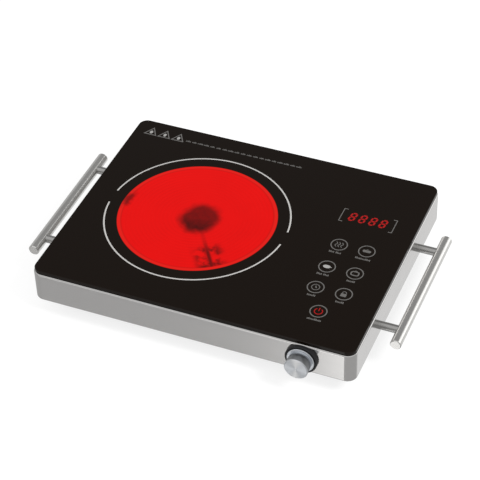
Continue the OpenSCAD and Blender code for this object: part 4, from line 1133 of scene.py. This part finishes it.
class HOTPLATE_OT_fan(bpy.types.Operator):
    """Finishes the cooling fan"""
    bl_idname = "hotplate.fan"
    bl_label = "Finish Fan"

    def execute(self, context):
        fan_black = moulded("fan_black", (0.016, 0.016, 0.017), 0.45, 900.0, 0.1)
        clad(fan_black, "fan_frame", "fan_rotor")
        clad_each(brushed, (
            ("sintered_bronze", "fan_bearing", (0.55, 0.36, 0.15), (1.0, 1.0, 1.0), 0.45, 1200.0),
            ("copper_wire", "fan_coil", (0.62, 0.26, 0.12), (0.1, 0.1, 1.0), 0.3, 900.0),
        ))
        smooth_shade("fan_frame", "fan_rotor", "fan_bearing", "fan_coil", "fan_shaft")
        return {"FINISHED"}


# the stage's sizes and places, in metres
FLOOR_REACH = 6
LAMP_SIZE = 0.6
KEY_AT = (1.6, -0.5, 1.8)
FILL_AT = (-1.5, -0.9, 1.2)
# from the middle of the glass's top to the point that the camera looks at
AIM_SHIFT = Vector((3.3, -8.5, -10.1)) * MM


class HOTPLATE_OT_stage(bpy.types.Operator):
    """Builds the floor, the lights and the camera"""
    bl_idname = "hotplate.stage"
    bl_label = "Build Stage"

    def execute(self, context):
        stage = context.scene.hotplate_stage
        build_floor(stage)
        build_room(stage)
        build_light("key_light", KEY_AT, stage.key_strength)
        build_light("fill_light", FILL_AT, stage.fill_strength)
        build_camera(stage)
        context.scene.view_settings.view_transform = "Standard"
        return {"FINISHED"}


def build_floor(stage):
    """A plain floor with some light of its own, so that shadows stay faint; metal mirrors none."""
    corners = [(x * FLOOR_REACH, y * FLOOR_REACH, 0)
               for x, y in ((-1, -1), (1, -1), (1, 1), (-1, 1))]
    mesh = bpy.data.meshes.new("floor")
    mesh.from_pydata(corners, [], [(0, 1, 2, 3)])
    floor = add_object("floor", mesh)
    material, tree, shader = new_material("floor_paper")
    cloud = noise(tree, place(tree), 3)
    feed(tree, shader, {
        "Base Color": mix_colour(tree, cloud, stage.floor, shaded(stage.floor, 0.985)),
        "Roughness": 0.9, "Specular IOR Level": 0.0,
        "Emission Color": (1, 1, 1), "Emission Strength": stage.floor_lift})
    mesh.materials.append(material)
    floor.visible_glossy = False


def build_light(name, place_at, power):
    """A square soft light that looks at the hot plate; metal mirrors the cards instead of it."""
    data = bpy.data.lights.new(name, "AREA")
    data.energy = power
    data.size = LAMP_SIZE
    lamp = add_object(name, data)
    lamp.location = place_at
    lamp.visible_glossy = False
    lamp.rotation_euler = (GLASS - Vector(place_at)).to_track_quat("-Z", "Y").to_euler()


def build_room(stage):
    """Even daylight, and for what metal and glass mirror, a room with cards round the table."""
    world = bpy.data.worlds.new("room")
    bpy.context.scene.world = world
    world.use_nodes = True
    tree = world.node_tree
    direction = add_node(tree, "ShaderNodeTexCoord").outputs["Generated"]
    right, back, up = (part(tree, direction, axis) for axis in "XYZ")
    bearing = calculate(tree, "ARCTAN2", right, times(tree, back, -1))

    def across(start, end, soft):
        """1 between two bearings in degrees, from straight in front towards the right."""
        return band(tree, bearing, *(math.radians(a) for a in (start, end, soft)))

    def layer(below, mask, level):
        """The level where the mask is 1, and what lies below it elsewhere."""
        inputs = {0: mask, 2: below, 3: level}
        return add_node(tree, "ShaderNodeMix", inputs, data_type="FLOAT").outputs[0]

    low = layer(stage.grey_card, across(-20.4, -13, 1.2), stage.white_card)
    low = layer(low, across(-19.5, -13, 0.6), stage.bright_edge)
    low = layer(low, across(135, 174, 6), stage.side_card)
    strip = times(tree, band(tree, up, -0.36, -0.08, 0.05), across(-38, -16, 4))
    low = layer(low, strip, stage.low_card)

    at_back = layer(stage.back_wall, smooth_step(tree, up, 0.30, 0.60), stage.back_room)
    in_front = layer(stage.front_wall, smooth_step(tree, up, 0.38, 0.58), stage.front_room)
    high = layer(in_front, smooth_step(tree, back, 0.15, 0.50), at_back)
    right_side = times(tree, fade(tree, up, 0.44, 0.62), across(108, 160, 8))
    high = layer(high, right_side, stage.right_card)

    mirrored = layer(low, smooth_step(tree, up, -0.05, 0.05), high)
    seen_by = add_node(tree, "ShaderNodeLightPath").outputs
    level = layer(stage.daylight, seen_by["Is Glossy Ray"], mirrored)
    level = layer(level, seen_by["Is Camera Ray"], 1.0)
    feed(tree, tree.nodes["Background"], {"Color": (1, 1, 1), "Strength": level})


def build_camera(stage):
    """The camera, at its angle above the front-right corner, with a slight roll."""
    data = bpy.data.cameras.new("camera")
    data.lens = stage.focal_length
    data.sensor_width = 36
    data.clip_start = 0.05
    camera = add_object("camera", data)
    turn = (Matrix.Rotation(stage.azimuth, 4, "Z")
            @ Matrix.Rotation(math.pi / 2 - stage.elevation, 4, "X")
            @ Matrix.Rotation(stage.roll, 4, "Z"))
    aim = Vector((GLASS.x, GLASS.y, GLASS_TOP)) + AIM_SHIFT
    away = Matrix.Translation((0, 0, stage.distance))
    camera.matrix_world = Matrix.Translation(aim) @ turn @ away
    bpy.context.scene.camera = camera


# ------------------------------------------------------------------ panel and registration

OPERATORS = (
    HOTPLATE_OT_stage, HOTPLATE_OT_glass, HOTPLATE_OT_zone_ring, HOTPLATE_OT_keys,
    HOTPLATE_OT_display, HOTPLATE_OT_rear_marks, HOTPLATE_OT_casing, HOTPLATE_OT_knob,
    HOTPLATE_OT_base, HOTPLATE_OT_heater, HOTPLATE_OT_electronics, HOTPLATE_OT_fan,
)
SETTINGS = {
    "hotplate_print": PrintSettings, "hotplate_heat": HeatSettings,
    "hotplate_metal": MetalSettings, "hotplate_stage": StageSettings,
}


class HOTPLATE_PT_panel(bpy.types.Panel):
    """Lists the hot plate's settings and steps"""
    bl_idname = "HOTPLATE_PT_panel"
    bl_label = "Hot Plate"
    bl_space_type = "VIEW_3D"
    bl_region_type = "UI"
    bl_category = "Hot Plate"

    def draw(self, context):
        for name, group in SETTINGS.items():
            box = self.layout.box()
            for setting in group.__annotations__:
                box.prop(getattr(context.scene, name), setting)
        for operator in OPERATORS:
            self.layout.operator(operator.bl_idname)


def register():
    for cls in (*SETTINGS.values(), *OPERATORS, HOTPLATE_PT_panel):
        bpy.utils.register_class(cls)
    for name, group in SETTINGS.items():
        setattr(bpy.types.Scene, name, bpy.props.PointerProperty(type=group))


def unregister():
    for name in SETTINGS:
        delattr(bpy.types.Scene, name)
    for cls in reversed((*SETTINGS.values(), *OPERATORS, HOTPLATE_PT_panel)):
        bpy.utils.unregister_class(cls)


def main():
    register()
    for operator in OPERATORS:
        getattr(bpy.ops.hotplate, operator.bl_idname.split(".")[1])()


if __name__ == "__main__":
    main()
